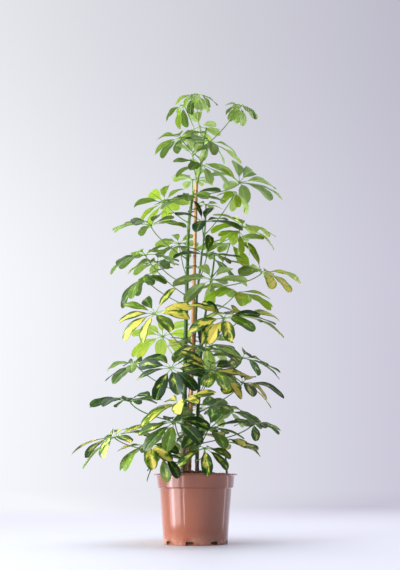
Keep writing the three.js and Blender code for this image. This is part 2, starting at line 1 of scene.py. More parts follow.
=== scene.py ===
"""Looks of the potted umbrella plant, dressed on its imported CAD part.

Shapes are in millimetres, +Z up and -Y to the front, until a mesh is made in metres.
Materials, lights, the floor and the camera are in metres.
The places of shoots, petioles and leaflets follow the same rule as the CAD part.
"""

import json
from itertools import combinations, product
from math import atan2, cos, hypot, inf, pi, radians, sin, sqrt

import bpy
import numpy as np
from mathutils import Matrix, Vector, noise

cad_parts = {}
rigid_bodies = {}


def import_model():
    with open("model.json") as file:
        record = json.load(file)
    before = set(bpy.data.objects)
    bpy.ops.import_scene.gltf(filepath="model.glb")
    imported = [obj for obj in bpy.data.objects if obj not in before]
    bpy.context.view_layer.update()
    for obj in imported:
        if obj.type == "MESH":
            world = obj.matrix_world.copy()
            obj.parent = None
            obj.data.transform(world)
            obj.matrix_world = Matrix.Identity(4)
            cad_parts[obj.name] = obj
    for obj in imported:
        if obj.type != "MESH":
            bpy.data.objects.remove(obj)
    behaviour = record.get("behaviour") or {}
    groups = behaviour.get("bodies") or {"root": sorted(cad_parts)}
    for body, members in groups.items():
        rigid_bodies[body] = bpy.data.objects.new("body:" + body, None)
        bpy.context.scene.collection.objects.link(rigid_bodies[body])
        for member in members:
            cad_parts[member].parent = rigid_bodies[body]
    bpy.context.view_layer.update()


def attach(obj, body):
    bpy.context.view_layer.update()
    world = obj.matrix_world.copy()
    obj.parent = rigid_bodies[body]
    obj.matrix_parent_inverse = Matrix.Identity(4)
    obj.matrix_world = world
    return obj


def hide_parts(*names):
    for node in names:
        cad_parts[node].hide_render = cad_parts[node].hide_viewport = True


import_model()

# ---- sizes shared with the CAD part

MM = 0.001
GAP = 0.3
LAYOUT_SEED = 20240

POT_HEIGHT = 150
POT_BASE_R = 71
POT_WALL_TOP_R = 81
POT_WALL_TOP = 118
POT_COLLAR_R = 86
POT_LIP_R = 95
POT_LIP_THICK = 3
POT_WALL = 2
POT_FLOOR = 3
NOTCHES = 8
NOTCH_WIDTH = 17
NOTCH_HEIGHT = 8
NOTCH_DEPTH = 6
NOTCH_TURN = 35

SOIL_EDGE = 145
SOIL_MOUND = 9
ROOT_TOP = 132  # how far down the stems go into the soil here

CANE_R = 4.5
CANE_FOOT = (-17, 0, 20)
CANE_TOP = (1, 0, 861)

TIE_HEIGHTS = (642, 790)
TIE_BAND = 3
TIE_THICK = 1.2

PETIOLE_R = 1.5
PETIOLE_FOOT_R = 2.2
PETIOLE_STEPS = 3
HUB_R = 3.2
HUB_NECK = 4.5
FAN = 335
OUTER_LONGER = 0.88
HALF_LEAST = 4
HALF_SHARE = 0.125
STALK_END = 0.2
FOLD = 0.16
OUTLINE = ((0.2, 0.1), (0.5, 0.9), (0.84, 0.96), (1.03, 0))

CLEAR_TUBE = 6.5
CLEAR_LEAFLET = 9
CLEAR_SISTER = 3
CLEAR_POT = 7
SAMPLE_SHARES = np.array((0.12, 0.25, 0.4, 0.55, 0.7, 0.85, 1))
SAMPLE_WIDTHS = np.array((-1, -0.5, 0, 0.5, 1))
TRY_LENGTHS = (1, 0.86, 0.72)
TRY_LIFTS = (0, -8, 8, -16, 16, -25, 25, -36, 36, -48, 48)
TRY_TURNS = (0, -6, 6)
LEAST_ROOM = -2

# Each shoot: points of its middle line, radius at the soil and at the top, and its young whorl:
# leaflets, length, droop, lean, toward, spin.
SHOOTS = {
    "a": {
        "points": ((-29, -12, 150), (-26, 2, 320), (-24, 8, 490), (-21, 11, 640), (-15, 13, 785),
                   (-8, 13, 831), (10, 9, 901), (16, 6, 947), (20, 3, 985), (26, -4, 1012)),
        "radius": (6.2, 2.6),
        "whorl": (6, 36, -50, 10, 300, 20),
    },
    "b": {
        "points": ((-22, 15, 150), (-16, 13, 280), (-8, 12, 400), (-1, 11, 500), (3, 9, 574),
                   (9, 2, 624), (14, -1, 670), (20, -2, 715), (24, 2, 765), (25, 4, 805)),
        "radius": (5.2, 1.6),
        "whorl": (6, 42, 15, 10, 280, 0),
    },
    "c": {
        "points": ((3, 22, 150), (4, 19, 260), (8, 16, 360), (16, 13, 470), (30, 11, 570),
                   (42, 7, 640), (46, 4, 672)),
        "radius": (4.8, 2.2),
        "whorl": (6, 38, -35, 20, 320, 10),
    },
    "d": {
        "points": ((70, -22, 150), (68, -20, 185), (65, -17, 220)),
        "radius": (2.3, 1.6),
        "whorl": (7, 92, 2, 12, 350, 0),
    },
}

# Each leaf: shoot, foot height, hub, lean, toward, leaflets, their length, droop, spin, and then
# how much of a leaflet is yellow and how light and young its green is, both from 0 to 1.
LEAVES = (
    ("a", 976, (-35, 50, 1108), 32, 165, 8, 66, 34, 0, 0, 0.6),
    ("a", 988, (0, -20, 1100), 4, 270, 8, 70, 42, 20, 0, 0.65),
    ("a", 966, (112, -10, 1074), 16, 0, 9, 58, 42, 10, 0, 0.6),
    ("a", 955, (8, 55, 1046), 25, 120, 7, 62, 15, 0, 0, 0.8),
    ("a", 930, (-38, -30, 972), 20, 200, 8, 80, 6, 0, 0, 0.6),
    ("a", 915, (35, -42, 955), 30, 330, 8, 92, 18, 22, 0, 0.6),
    ("a", 872, (-8, -52, 915), 20, 270, 7, 50, -30, 30, 0, 0.7),
    ("a", 820, (-10, 80, 905), 4, 270, 8, 62, 0, 0, 0, 0.75),
    ("a", 868, (16, -45, 890), 24, 320, 8, 84, 15, 0, 0, 0.65),
    ("a", 835, (110, 12, 868), 20, 350, 9, 110, 2, 15, 0, 0.6),
    ("b", 725, (96, -36, 822), 20, 340, 7, 60, 46, 0, 0.22, 0.95),
    ("a", 760, (-80, 15, 815), 26, 160, 9, 88, 5, 10, 0, 0.8),
    ("a", 742, (-12, -56, 800), 22, 262, 9, 90, 2, 0, 0, 0.5),
    ("b", 700, (118, 20, 752), 34, 322, 9, 100, 0, 0, 0.32, 1),
    ("a", 665, (-110, -25, 740), 18, 255, 9, 96, 0, 0, 0, 0.62),
    ("b", 712, (17, -50, 739), 28, 285, 8, 98, -4, 0, 0.1, 0.3),
    ("a", 622, (-45, 88, 730), 22, 110, 9, 62, 4, 0, 0, 0.6),
    ("b", 688, (102, -40, 718), 25, 340, 7, 64, 50, 20, 0.1, 0.95),
    ("c", 620, (84, 40, 715), 16, 260, 9, 100, 6, 0, 0.2, 0.95),
    ("a", 600, (-98, 60, 672), 16, 180, 9, 76, 8, 0, 0, 0.55),
    ("a", 572, (-122, -20, 665), 18, 220, 9, 90, 8, 0, 0, 0.55),
    ("b", 608, (26, -42, 656), 22, 290, 9, 100, 0, 12, 0.1, 0.3),
    ("c", 590, (160, -5, 626), 28, 318, 9, 108, 4, 0, 0.5, 0.8),
    ("a", 548, (-130, 45, 628), 26, 195, 9, 90, 20, 0, 0.1, 0.5),
    ("c", 572, (38, -64, 590), 10, 100, 9, 92, 4, 0, 0.1, 0.75),
    ("c", 520, (96, -28, 570), 20, 320, 9, 98, 4, 0, 0.3, 1),
    ("c", 455, (112, 48, 528), 20, 322, 9, 108, 0, 0, 0.45, 0.45),
    ("a", 442, (-95, -42, 515), 56, 250, 9, 96, 0, 0, 0.5, 0.45),
    ("b", 440, (66, -56, 500), 54, 272, 9, 94, 0, 10, 0.5, 0.2),
    ("a", 400, (-85, 110, 490), 22, 130, 9, 94, 10, 0, 0.2, 1),
    ("b", 398, (25, 130, 478), 22, 85, 9, 98, 10, 0, 0.2, 0.5),
    ("c", 372, (8, -34, 428), 25, 320, 9, 96, -4, 0, 0.4, 0.3),
    ("c", 335, (35, 120, 412), 20, 60, 9, 92, 12, 0, 0.2, 0.4),
    ("c", 388, (115, 80, 430), 20, 25, 9, 100, 4, 0, 0.2, 0.35),
    ("a", 332, (-145, 40, 408), 34, 230, 9, 84, 4, 0, 0.1, 0.3),
    ("a", 326, (-54, -105, 376), 50, 266, 9, 84, 2, 12, 0.15, 0.25),
    ("c", 318, (34, -100, 370), 36, 300, 9, 88, 8, 0, 0.5, 0.2),
    ("c", 292, (108, -25, 354), 30, 322, 9, 98, 4, 0, 0.5, 0.15),
    ("a", 262, (-150, -18, 312), 10, 195, 9, 96, 6, 0, 0.05, 0.15),
    ("a", 232, (-34, -70, 300), 30, 218, 9, 100, -2, 10, 0.6, 0.4),
    ("c", 238, (72, 75, 300), 18, 20, 9, 94, 10, 0, 0.15, 0.5),
    ("b", 240, (8, 145, 312), 22, 88, 9, 88, 12, 0, 0.15, 0.4),
    ("a", 214, (-44, -118, 256), 34, 262, 9, 88, 8, 0, 0.15, 0.3),
    ("c", 218, (134, 22, 266), 16, 0, 8, 64, 8, 0, 0.2, 0.35),
    ("c", 206, (28, -95, 243), 26, 330, 9, 90, 8, 10, 0.15, 0.2),
    ("a", 194, (-185, -12, 232), 28, 212, 9, 112, 10, 10, 0.55, 0.4),
    ("b", 190, (-62, 128, 242), 25, 120, 9, 84, 12, 0, 0.2, 0.4),
    ("a", 182, (-104, -88, 210), 28, 235, 9, 80, 12, 0, 0.42, 0.45),
    ("c", 180, (20, -130, 200), 34, 276, 7, 70, 24, 0, 0.25, 0.45),
    ("a", 172, (-70, -105, 188), 32, 230, 6, 66, 26, 0, 0.15, 0.35),
)

# Yellow and youth of the whorl that ends each shoot.
WHORL_LOOKS = {"a": (0, 1), "b": (0.1, 0.95), "c": (0.2, 1), "d": (0.55, 0.35)}

# ---- sizes of the fine pieces

TIP_SHARE = OUTLINE[-1][0]  # where a blade's rounded tip ends, as a share of the leaflet's length
BLADE_ROWS = 17
BLADE_COLUMNS = np.array((-1, -0.82, -0.58, -0.33, -0.1, 0, 0.1, 0.33, 0.58, 0.82, 1))
BLADE_THICK = 0.3  # half the thickness of a blade beside its midrib
RIB_SIDES = 6
PETIOLE_SIDES = 8
STEM_SIDES = 14
STEM_STEP = 4
ROOT_FLARE = 1.1  # how much thicker a stem is where it leaves the soil
SCAR_STEP = 19  # from one old leaf scar of a stem to the next
SCAR_SWELL = 0.45
SCAR_DENT = 0.18
CANE_SIDES = 24
CANE_STEP = 8
CANE_TAPER = 0.35
CANE_CREASE = 50
NODE_SWELL = 0.55
NODE_DENT = 0.3
CANE_NODES = (70, 168, 262, 371, 469, 566, 668, 757, 838)
TIE_SIDES = 8
TIE_STATIONS = 15  # rings of a tie in its bend round the cane, and in its bend round the stem
POT_SIDES = 160
POT_CREASE = 35  # like the other creases: degrees between faces from which an edge looks sharp
FLAT_R = 30  # the innermost ring of the pot's floor
NOTCH_CORNER = 2.2  # radius of a notch's upper corners
NOTCH_DRAFT = 0.6  # how much narrower a notch is at its top, on each side
SOIL_RINGS = 34
SOIL_SPOKES = 130
SOIL_CREASE = 60
CHIPS = 620
CHIP_STRETCH = ((0.8, 2), (0.7, 1.2), (0.35, 0.9))  # least and most along each axis
CHIP_ROUGH = 0.28
CHIP_LEAN = 0.6
CHIP_SEED = 71
SHAPE_SEED = 909
ANY_TURN = 6.28  # a random turn is less than this, in radians


# ---- small helpers

def vec(*values):
    return np.array(values, float)


def unit(vector):
    return vector / np.linalg.norm(vector)


def unit_rows(rows):
    return rows / np.linalg.norm(rows, axis=1)[:, None]


def bell(places, middle, width):
    """A smooth bump of height 1."""
    return np.exp(-((places - middle) / width) ** 2)


def even_turns(count):
    return np.arange(count) * 2 * pi / count


def around(turns):
    """Ways out from the Z axis, one for each turn."""
    return np.stack((np.cos(turns), np.sin(turns), np.zeros(len(turns))), axis=1)


def put(name, data):
    """A new object in the scene."""
    thing = bpy.data.objects.new(name, data)
    bpy.context.scene.collection.objects.link(thing)
    return thing


class Draws:
    """The same seeded draws as the CAD part's."""

    def __init__(self, seed):
        self.seed = seed

    def __call__(self, low, high):
        self.seed = (self.seed * 1664525 + 1013904223) % 4294967296
        return low + (high - low) * self.seed / 4294967296


# ---- shoots as paths

def on_shoot(shoot, height):
    """Middle, direction and radius of a shoot at a height."""
    points = shoot["points"]
    k = 0
    while k < len(points) - 2 and points[k + 1][2] < height:
        k += 1
    low = vec(*points[k])
    high = vec(*points[k + 1])
    share = (height - low[2]) / (high[2] - low[2])
    thick, thin = shoot["radius"]
    radius = thick + (thin - thick) * (height - points[0][2]) / (points[-1][2] - points[0][2])
    return low + (high - low) * share, unit(high - low), radius


def cane_at(height):
    foot = vec(*CANE_FOOT)
    top = vec(*CANE_TOP)
    return foot + (top - foot) * (height - foot[2]) / (top[2] - foot[2])


# ---- the leaf layout rule

tubes = {"from": [], "span": [], "radius": [], "leaf": []}
placed = {"samples": [], "middle": [], "reach": [], "leaf": []}


def note(table, *values):
    """Adds a row to a table that is kept as columns."""
    for column, value in zip(table.values(), values):
        column.append(value)


def add_tube(start, end, radius, leaf_number=None):
    note(tubes, start, end - start, radius, leaf_number)


def freeze_tubes():
    for key in tubes:
        tubes[key] = np.array(tubes[key])
    tubes["middle"] = tubes["from"] + tubes["span"] / 2
    tubes["reach"] = np.linalg.norm(tubes["span"], axis=1) / 2 + tubes["radius"]


def rows_near(table, middle, reach, clear):
    """Which rows of a table may come closer than a clearance."""
    apart = np.linalg.norm(np.array(table["middle"]) - middle, axis=1)
    return apart <= reach + np.array(table["reach"]) + clear


def room_at_tubes(samples, middle, reach, leaf_number):
    near = rows_near(tubes, middle, reach, CLEAR_TUBE) & (tubes["leaf"] != leaf_number)
    if not near.any():
        return inf
    offset = samples[:, None] - tubes["from"][near]
    span = tubes["span"][near]
    share = np.clip((offset * span).sum(2) / (span * span).sum(1), 0, 1)
    distance = np.linalg.norm(offset - span * share[..., None], axis=2) - tubes["radius"][near]
    return distance.min() - CLEAR_TUBE


def room_at_leaflets(samples, middle, reach, leaf_number):
    if not placed["leaf"]:
        return inf
    room = inf
    for k in np.flatnonzero(rows_near(placed, middle, reach, CLEAR_LEAFLET)):
        clear = CLEAR_SISTER if placed["leaf"][k] == leaf_number else CLEAR_LEAFLET
        distance = np.linalg.norm(samples[:, None] - placed["samples"][k], axis=2)
        room = min(room, distance.min() - clear)
    return room


def room_around(samples, middle, reach, leaf_number):
    outside = np.hypot(samples[:, 0], samples[:, 1]) - POT_LIP_R
    over_pot = np.maximum(samples[:, 2] - POT_HEIGHT, outside).min() - CLEAR_POT
    patch = (samples, middle, reach, leaf_number)
    return min(over_pot, room_at_tubes(*patch), room_at_leaflets(*patch))


def outline_at(share):
    shares, widths = zip(*OUTLINE)
    return np.interp(share, shares, widths)


def leaflet_frames(hub, leaflet, shares):
    """Middles, ways across and ways up of a leaflet at shares of its length."""
    bend = radians(leaflet["arch"])
    start = bend / 2 - radians(leaflet["droop"])
    slope = (start - bend * shares)[:, None]
    turn = radians(leaflet["angle"])
    outward = hub["out"] * cos(turn) + hub["side"] * sin(turn)
    across = np.cross(hub["axis"], outward)
    reach = HUB_R + leaflet["length"] * (sin(start) - np.sin(slope)) / bend
    rise = leaflet["length"] * (np.cos(slope) - cos(start)) / bend
    middle = hub["middle"] + outward * reach + hub["axis"] * rise
    up = hub["axis"] * np.cos(slope) - outward * np.sin(slope)
    roll = radians(leaflet["roll"])
    tilted = across * cos(roll) + up * sin(roll)
    return middle, tilted, up * cos(roll) - across * sin(roll)


def leaflet_samples(hub, leaflet):
    middle, across, up = leaflet_frames(hub, leaflet, SAMPLE_SHARES)
    half = (leaflet["half"] * outline_at(SAMPLE_SHARES))[:, None, None]
    widths = SAMPLE_WIDTHS[None, :, None]
    samples = middle[:, None] + across[:, None] * half * widths
    samples = samples + up[:, None] * half * FOLD * np.abs(widths)
    return samples.reshape(-1, 3)


def bend_clear(hub, wanted, leaf_number):
    """The wanted leaflet, or one bent or shortened until it has room, or None."""
    best = None
    for size, lift, turn in product(TRY_LENGTHS, TRY_LIFTS, TRY_TURNS):
        leaflet = dict(wanted, angle=wanted["angle"] + turn, droop=wanted["droop"] + lift,
                       length=wanted["length"] * size, half=wanted["half"] * size)
        samples = leaflet_samples(hub, leaflet)
        middle = (samples[0] + samples[-1]) / 2
        reach = leaflet["length"] * 0.5 + leaflet["half"]
        room = room_around(samples, middle, reach, leaf_number)
        if best is None or room > best[0]:
            best = (room, leaflet, samples, middle, reach)
        if best[0] >= 0:
            break
    room, leaflet, *patch = best
    if room < LEAST_ROOM:
        return None
    note(placed, *patch, leaf_number)
    return leaflet


def hub_of(place, lean, toward):
    tilt = radians(lean)
    way = radians(toward)
    axis = vec(sin(tilt) * cos(way), sin(tilt) * sin(way), cos(tilt))
    out = vec(cos(tilt) * cos(way), cos(tilt) * sin(way), -sin(tilt))
    return {"middle": vec(*place), "axis": axis, "out": out, "side": np.cross(axis, out)}


def choose_leaflets(hub, whorl, leaf_number, draws):
    """The leaflets of a whorl; a place that finds no room is left out."""
    count, length, droop, spin = whorl
    leaflets = []
    for k in range(count):
        angle = (k - (count - 1) / 2) * FAN / count + spin
        outer = cos(radians(angle))
        long = length * (OUTER_LONGER + (1 - OUTER_LONGER) * outer) * draws(0.93, 1.08)
        wanted = {
            "angle": angle + draws(-7, 7),
            "droop": droop + draws(-13, 13),
            "roll": draws(-22, 22),
            "arch": draws(22, 58),
            "length": long,
            "half": HALF_LEAST + long * HALF_SHARE,
        }
        leaflets.append(bend_clear(hub, wanted, leaf_number))
    return [leaflet for leaflet in leaflets if leaflet]


def petiole_curve(leaf):
    """Control points of the bend from the shoot's side up into the hub, and the way out of it."""
    middle, along, radius = on_shoot(SHOOTS[leaf["shoot"]], leaf["foot"])
    axis = leaf["hub"]["axis"]
    end = leaf["hub"]["middle"] - axis * HUB_NECK
    outward = end - middle
    outward = unit(outward - along * outward.dot(along))
    start = middle + outward * (radius + GAP)
    length = np.linalg.norm(end - start)
    straight = unit(end - start)
    bends = (
        start,
        start + outward * length * 0.1 + straight * length * 0.2,
        end - axis * length * 0.15 - straight * length * 0.15,
        end,
    )
    return bends, outward, radius


def on_curve(bends, shares):
    t = np.asarray(shares, float)[:, None]
    a, b, c, d = bends
    return a * (1 - t) ** 3 + b * 3 * t * (1 - t) ** 2 + c * 3 * t ** 2 * (1 - t) + d * t ** 3


def lay_out():
    """All leaves and whorls with their leaflets, placed by the CAD part's rule."""
    draws = Draws(LAYOUT_SEED)
    add_tube(cane_at(SOIL_EDGE), cane_at(CANE_TOP[2]), CANE_R)
    for shoot in SHOOTS.values():
        points = [vec(*point) for point in shoot["points"]]
        for low, high in zip(points, points[1:]):
            add_tube(low, high, on_shoot(shoot, low[2])[2])
    leaves = []
    counts = {}
    for number, row in enumerate(LEAVES):
        shoot, foot, place, lean, toward, count, length, droop, spin, yellow, youth = row
        counts[shoot] = counts.get(shoot, 0) + 1
        leaf = {
            "name": f"leaf_{shoot}_{counts[shoot]:02d}",
            "shoot": shoot,
            "foot": foot,
            "hub": hub_of(place, lean, toward),
            "whorl": (count, length, droop, spin),
            "look": (yellow, youth),
        }
        leaf["bends"], leaf["outward"], leaf["foot_radius"] = petiole_curve(leaf)
        stations = on_curve(leaf["bends"], [k / PETIOLE_STEPS for k in range(PETIOLE_STEPS, -1, -1)])
        for low, high in zip(stations, stations[1:]):
            add_tube(low, high, PETIOLE_R, number)
        add_tube(stations[0], leaf["hub"]["middle"], HUB_R, number)
        leaves.append(leaf)
    freeze_tubes()
    whorls = {}
    for name, shoot in SHOOTS.items():
        count, length, droop, lean, toward, spin = shoot["whorl"]
        hub = hub_of(shoot["points"][-1], lean, toward)
        leaflets = choose_leaflets(hub, (count, length, droop, spin), f"shoot {name}", draws)
        whorls[name] = {"hub": hub, "leaflets": leaflets, "look": WHORL_LOOKS[name]}
    for number, leaf in enumerate(leaves):
        leaf["leaflets"] = choose_leaflets(leaf["hub"], leaf["whorl"], number, draws)
    return leaves, whorls


# ---- collecting a mesh

class Pile:
    """Points and faces of one piece, with what its materials read at each point."""

    def __init__(self):
        self.points = []
        self.blade = []  # across a blade, along it, and the leaflet's own number
        self.tint = []  # yellow, youth, tone
        self.faces = []
        self.looks = []
        self.edge = []  # whether it lies on a blade's margin
        self.total = 0

    def add(self, points, blade=(0, 0, 0), tint=(0, 0, 0), edge=False):
        """Adds points and gives back their numbers in the same table shape."""
        flat = points.reshape(-1, 3)
        count = len(flat)
        self.points.append(flat)
        self.blade.append(np.broadcast_to(blade, points.shape).reshape(-1, 3))
        self.tint.append(np.broadcast_to(tint, points.shape).reshape(-1, 3))
        self.edge.append(np.broadcast_to(edge, points.shape[:-1]).reshape(-1))
        numbers = np.arange(self.total, self.total + count).reshape(points.shape[:-1])
        self.total += count
        return numbers

    def close(self, faces, look=0):
        faces = [tuple(int(n) for n in face) for face in faces]
        self.faces.extend(faces)
        self.looks.extend([look] * len(faces))

    def grid(self, numbers, look=0, wrap=False, flip=False):
        """Quads over a table of point numbers."""
        left = numbers if wrap else numbers[:, :-1]
        right = np.roll(numbers, -1, axis=1) if wrap else numbers[:, 1:]
        quads = np.stack((left[:-1], right[:-1], right[1:], left[1:]), axis=-1).reshape(-1, 4)
        self.close(quads[:, ::-1] if flip else quads, look)

    def mesh(self, name):
        """The bare mesh, in metres."""
        mesh = bpy.data.meshes.new(name)
        mesh.from_pydata(np.concatenate(self.points) * MM, [], self.faces)
        return mesh

    def piece(self, name, materials, nodes, slot, crease=None):
        """The finished object, riding on the body and standing for its CAD nodes."""
        mesh = self.mesh(name)
        for label, rows in (("blade", self.blade), ("tint", self.tint)):
            layer = mesh.attributes.new(label, "FLOAT_VECTOR", "POINT")
            layer.data.foreach_set("vector", np.concatenate(rows).astype(np.float32).ravel())
        for material in materials:
            mesh.materials.append(material)
        mesh.polygons.foreach_set("material_index", self.looks)
        mesh.polygons.foreach_set("use_smooth", [True] * len(self.faces))
        if crease:
            mesh.set_sharp_from_angle(angle=radians(crease))
        else:
            self.mark_edges(mesh)
        mesh.update()
        piece = put(name, mesh)
        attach(piece, "root")
        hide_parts(*nodes)
        return piece

    def mark_edges(self, mesh):
        ends = np.zeros(len(mesh.edges) * 2, np.int32)
        mesh.edges.foreach_get("vertices", ends)
        on_edge = np.concatenate(self.edge)[ends].reshape(-1, 2).all(axis=1)
        layer = mesh.attributes.new("sharp_edge", "BOOLEAN", "EDGE")
        layer.data.foreach_set("value", on_edge)


def swept(alongs, first):
    """Two ways square to a path at each of its rings, carried along it without twisting."""
    ways = []
    for along in alongs:
        first = unit(first - along * first.dot(along))
        ways.append((first, np.cross(along, first)))
    return np.array(ways)


def add_round(pile, centres, alongs, radii, sides, first, look=0, tint=(0, 0, 0)):
    """A closed round tube through the centres. Radii may be one a ring or one a point."""
    ways = swept(alongs, first)
    ring = around(even_turns(sides))
    spokes = ways[:, :1] * ring[:, :1] + ways[:, 1:] * ring[:, 1:2]
    radii = np.reshape(radii, (len(centres), -1, 1))
    numbers = pile.add(centres[:, None] + radii * spokes, tint=tint)
    pile.grid(numbers, look, wrap=True)
    pile.close([numbers[0][::-1], numbers[-1]], look)


def directions(points):
    """The way a path runs at each of its points."""
    return unit_rows(np.gradient(points, axis=0))


def shades(*columns):
    """What a material reads at each ring of a tube."""
    return np.stack(np.broadcast_arrays(*columns), axis=-1)[:, None]


# ---- leaflets

# Which of a piece's materials its faces take.
LOOK_TOP, LOOK_UNDER, LOOK_RIB, LOOK_STALK, LOOK_BARK = range(5)

ROW_CROWDING = 1.6  # rows of a blade lie closer towards its tip
TWIST = 0.3  # most twist of a blade along its length, in radians
SWEEP = 0.025  # how far its tip may lie to one side, as a share of its length
CURL = (-0.01, 0.035)  # how far its tip may curl down, as a share of its length
FOLDING = (0.8, 1.35)  # how deep it folds at the midrib, as shares of FOLD
WAVE = 0.075  # how high its margin waves, as a share of its half width
WAVES = (1.1, 2.1)  # how many waves
SCALLOP = 0.025  # how far the waves move its margin out
# The stalk of a leaflet: share of the leaflet's length, radius.
LEAFLET_STALK = ((-0.02, 1.35), (0.015, 1.25), (0.06, 0.95), (0.12, 0.85), (0.17, 0.85))


def blade_width(t):
    """Half width from base to tip: narrow at the base, broadest past the middle, round tip."""
    widest = 0.71
    base = 1 - (1 - np.minimum(t, widest) / widest) ** 2.5
    tip = np.clip((t - 0.6) / 0.4, 0, 1)
    return np.maximum(base, 0.05) * np.sqrt(np.clip(1 - tip ** 2.3, 0, 1))


def add_blade(pile, hub, leaflet, look, number, draws):
    """A folded, waved blade with an upper and a lower skin that meet at its margin."""
    rows = np.arange(BLADE_ROWS + 1) / BLADE_ROWS
    t = 1 - (1 - rows) ** ROW_CROWDING
    shares = STALK_END + (TIP_SHARE - STALK_END) * t
    middle, across, up = leaflet_frames(hub, leaflet, shares)
    twist = (draws(-TWIST, TWIST) * (t - 0.35))[:, None]
    across, up = across * np.cos(twist) + up * np.sin(twist), up * np.cos(twist) - across * np.sin(twist)
    sweep = (draws(-SWEEP, SWEEP) * leaflet["length"] * t ** 2)[:, None]
    curl = (draws(*CURL) * leaflet["length"] * t ** 3)[:, None]
    middle = middle + across * sweep - up * curl
    half = leaflet["half"] * blade_width(t)
    columns = BLADE_COLUMNS
    out = np.abs(columns)
    fold = draws(*FOLDING) * FOLD
    rise = half[:, None] * fold * (out * 1.25 - out ** 3 * 0.4)
    phases = draws(0, ANY_TURN), draws(0, ANY_TURN)
    beat = draws(*WAVES) * 2 * pi * t[:, None]
    side = np.where(columns < 0, phases[0], phases[1])
    rise = rise + leaflet["half"] * WAVE * out ** 2 * np.sin(beat + side) * np.minimum(1, t * 4)[:, None]
    margin = 1 + SCALLOP * np.sin(beat * 2.3 + side * 2)
    flat = middle[:, None] + across[:, None] * (half[:, None] * columns * margin)[..., None]
    flat = flat + up[:, None] * rise[..., None]
    thick = BLADE_THICK * (1 - 0.75 * out ** 2) * (1 - 0.5 * t[:, None] ** 2)
    lift = up[:, None] * thick[..., None]
    blade = np.stack(np.broadcast_arrays(columns[None, :], t[:, None], float(number)), axis=-1)
    tone = draws(0, 1)
    yellow, youth = look
    tint = (yellow * draws(0.2, 1.3), min(1, youth + draws(-0.2, 0.2)), tone)
    edge = np.broadcast_to(out == 1, (BLADE_ROWS + 1, len(columns)))
    top = pile.add((flat + lift)[:-1], blade[:-1], tint, edge[:-1])
    under = pile.add((flat - lift)[:-1, 1:-1], blade[:-1, 1:-1], tint)
    under = np.concatenate((top[:, :1], under, top[:, -1:]), axis=1)
    tip = int(pile.add(flat[-1:, len(columns) // 2], blade[-1:, len(columns) // 2], tint, True)[0])
    pile.grid(top, LOOK_TOP)
    pile.grid(under, LOOK_UNDER, flip=True)
    pile.close([(a, b, tip) for a, b in zip(top[-1], top[-1][1:])], LOOK_TOP)
    pile.close([(b, a, tip) for a, b in zip(under[-1], under[-1][1:])], LOOK_UNDER)
    pile.close([tuple(under[0]) + tuple(top[0][1:-1][::-1])], LOOK_UNDER)
    return t, middle, up, tint


def add_leaflet(pile, hub, leaflet, look, number, draws):
    """A blade, and its stalk that runs on under it as the raised midrib."""
    t, middle, up, tint = add_blade(pile, hub, leaflet, look, number, draws)
    shares, stalk_radii = np.array(LEAFLET_STALK).T
    stalk_middle, _, stalk_up = leaflet_frames(hub, leaflet, shares)
    rib_rows = slice(0, BLADE_ROWS - 3)
    rib_radii = 0.8 - 0.62 * t[rib_rows]
    rib_middle = middle[rib_rows] - up[rib_rows] * (rib_radii * 0.62)[:, None]
    centres = np.concatenate((stalk_middle, rib_middle))
    radii = np.concatenate((stalk_radii, rib_radii)) * (0.75 + leaflet["length"] / 350)
    add_round(pile, centres, directions(centres), radii, RIB_SIDES, stalk_up[0], LOOK_RIB, tint)


# ---- petioles and leaves

# Where a petiole has its rings, as shares of its length: closer towards its ends.
PETIOLE_SHARES = (0, 0.012, 0.03, 0.06, 0.1, 0.16, 0.24, 0.33, 0.42, 0.51, 0.6, 0.69, 0.78, 0.86, 0.93, 1)
# The knuckle over the end of a petiole: height along the hub's axis, radius.
KNUCKLE = ((-3.2, 1.75), (-2, 2.4), (-0.8, 3.1), (0.3, 3.05), (1.1, 2.2), (1.6, 0.7))


def add_stalk(pile, path, radii, hub, sides, first, look, tint):
    """A tube along a path, ending in the knuckle that carries the leaflets."""
    heights, knuckle = np.array(KNUCKLE).T
    centres = np.concatenate((path, hub["middle"] + hub["axis"] * heights[:, None]))
    alongs = np.concatenate((directions(path), np.tile(hub["axis"], (len(knuckle), 1))))
    radii = np.reshape(radii, (len(path), -1))
    radii = np.concatenate((radii, np.tile(knuckle[:, None], (1, radii.shape[1]))))
    add_round(pile, centres, alongs, radii, sides, first, look, tint)


def add_petiole(pile, leaf):
    """The stalk of a leaf, thicker where it leaves the shoot."""
    centres = on_curve(leaf["bends"], PETIOLE_SHARES)
    lengths = np.linalg.norm(np.diff(centres, axis=0), axis=1)
    distance = np.concatenate(((0,), np.cumsum(lengths)))
    foot = min(PETIOLE_FOOT_R * 1.25, leaf["foot_radius"] * 1.05)
    radii = PETIOLE_R * 0.88 + (foot - PETIOLE_R * 0.88) * np.exp(-distance / 5)
    radii = radii + 0.25 * np.exp(-(distance[-1] - distance) / 3)
    root = centres[:1] - leaf["outward"] * min(2.5, leaf["foot_radius"] * 0.7)
    hub = leaf["hub"]
    add_stalk(pile, np.concatenate((root, centres)), (foot, *radii), hub, PETIOLE_SIDES, hub["side"],
              LOOK_STALK, (*leaf["look"], 0))


def build_leaf(leaf, number, draws, materials):
    pile = Pile()
    add_petiole(pile, leaf)
    for k, leaflet in enumerate(leaf["leaflets"]):
        add_leaflet(pile, leaf["hub"], leaflet, leaf["look"], number * 10 + k, draws)
    pile.piece(f"foliage_{leaf['name'][5:]}", materials, [leaf["name"]], "leaf")


# ---- stems

WHORL_NUMBER = 600  # the leaflets of whorls are numbered on from here


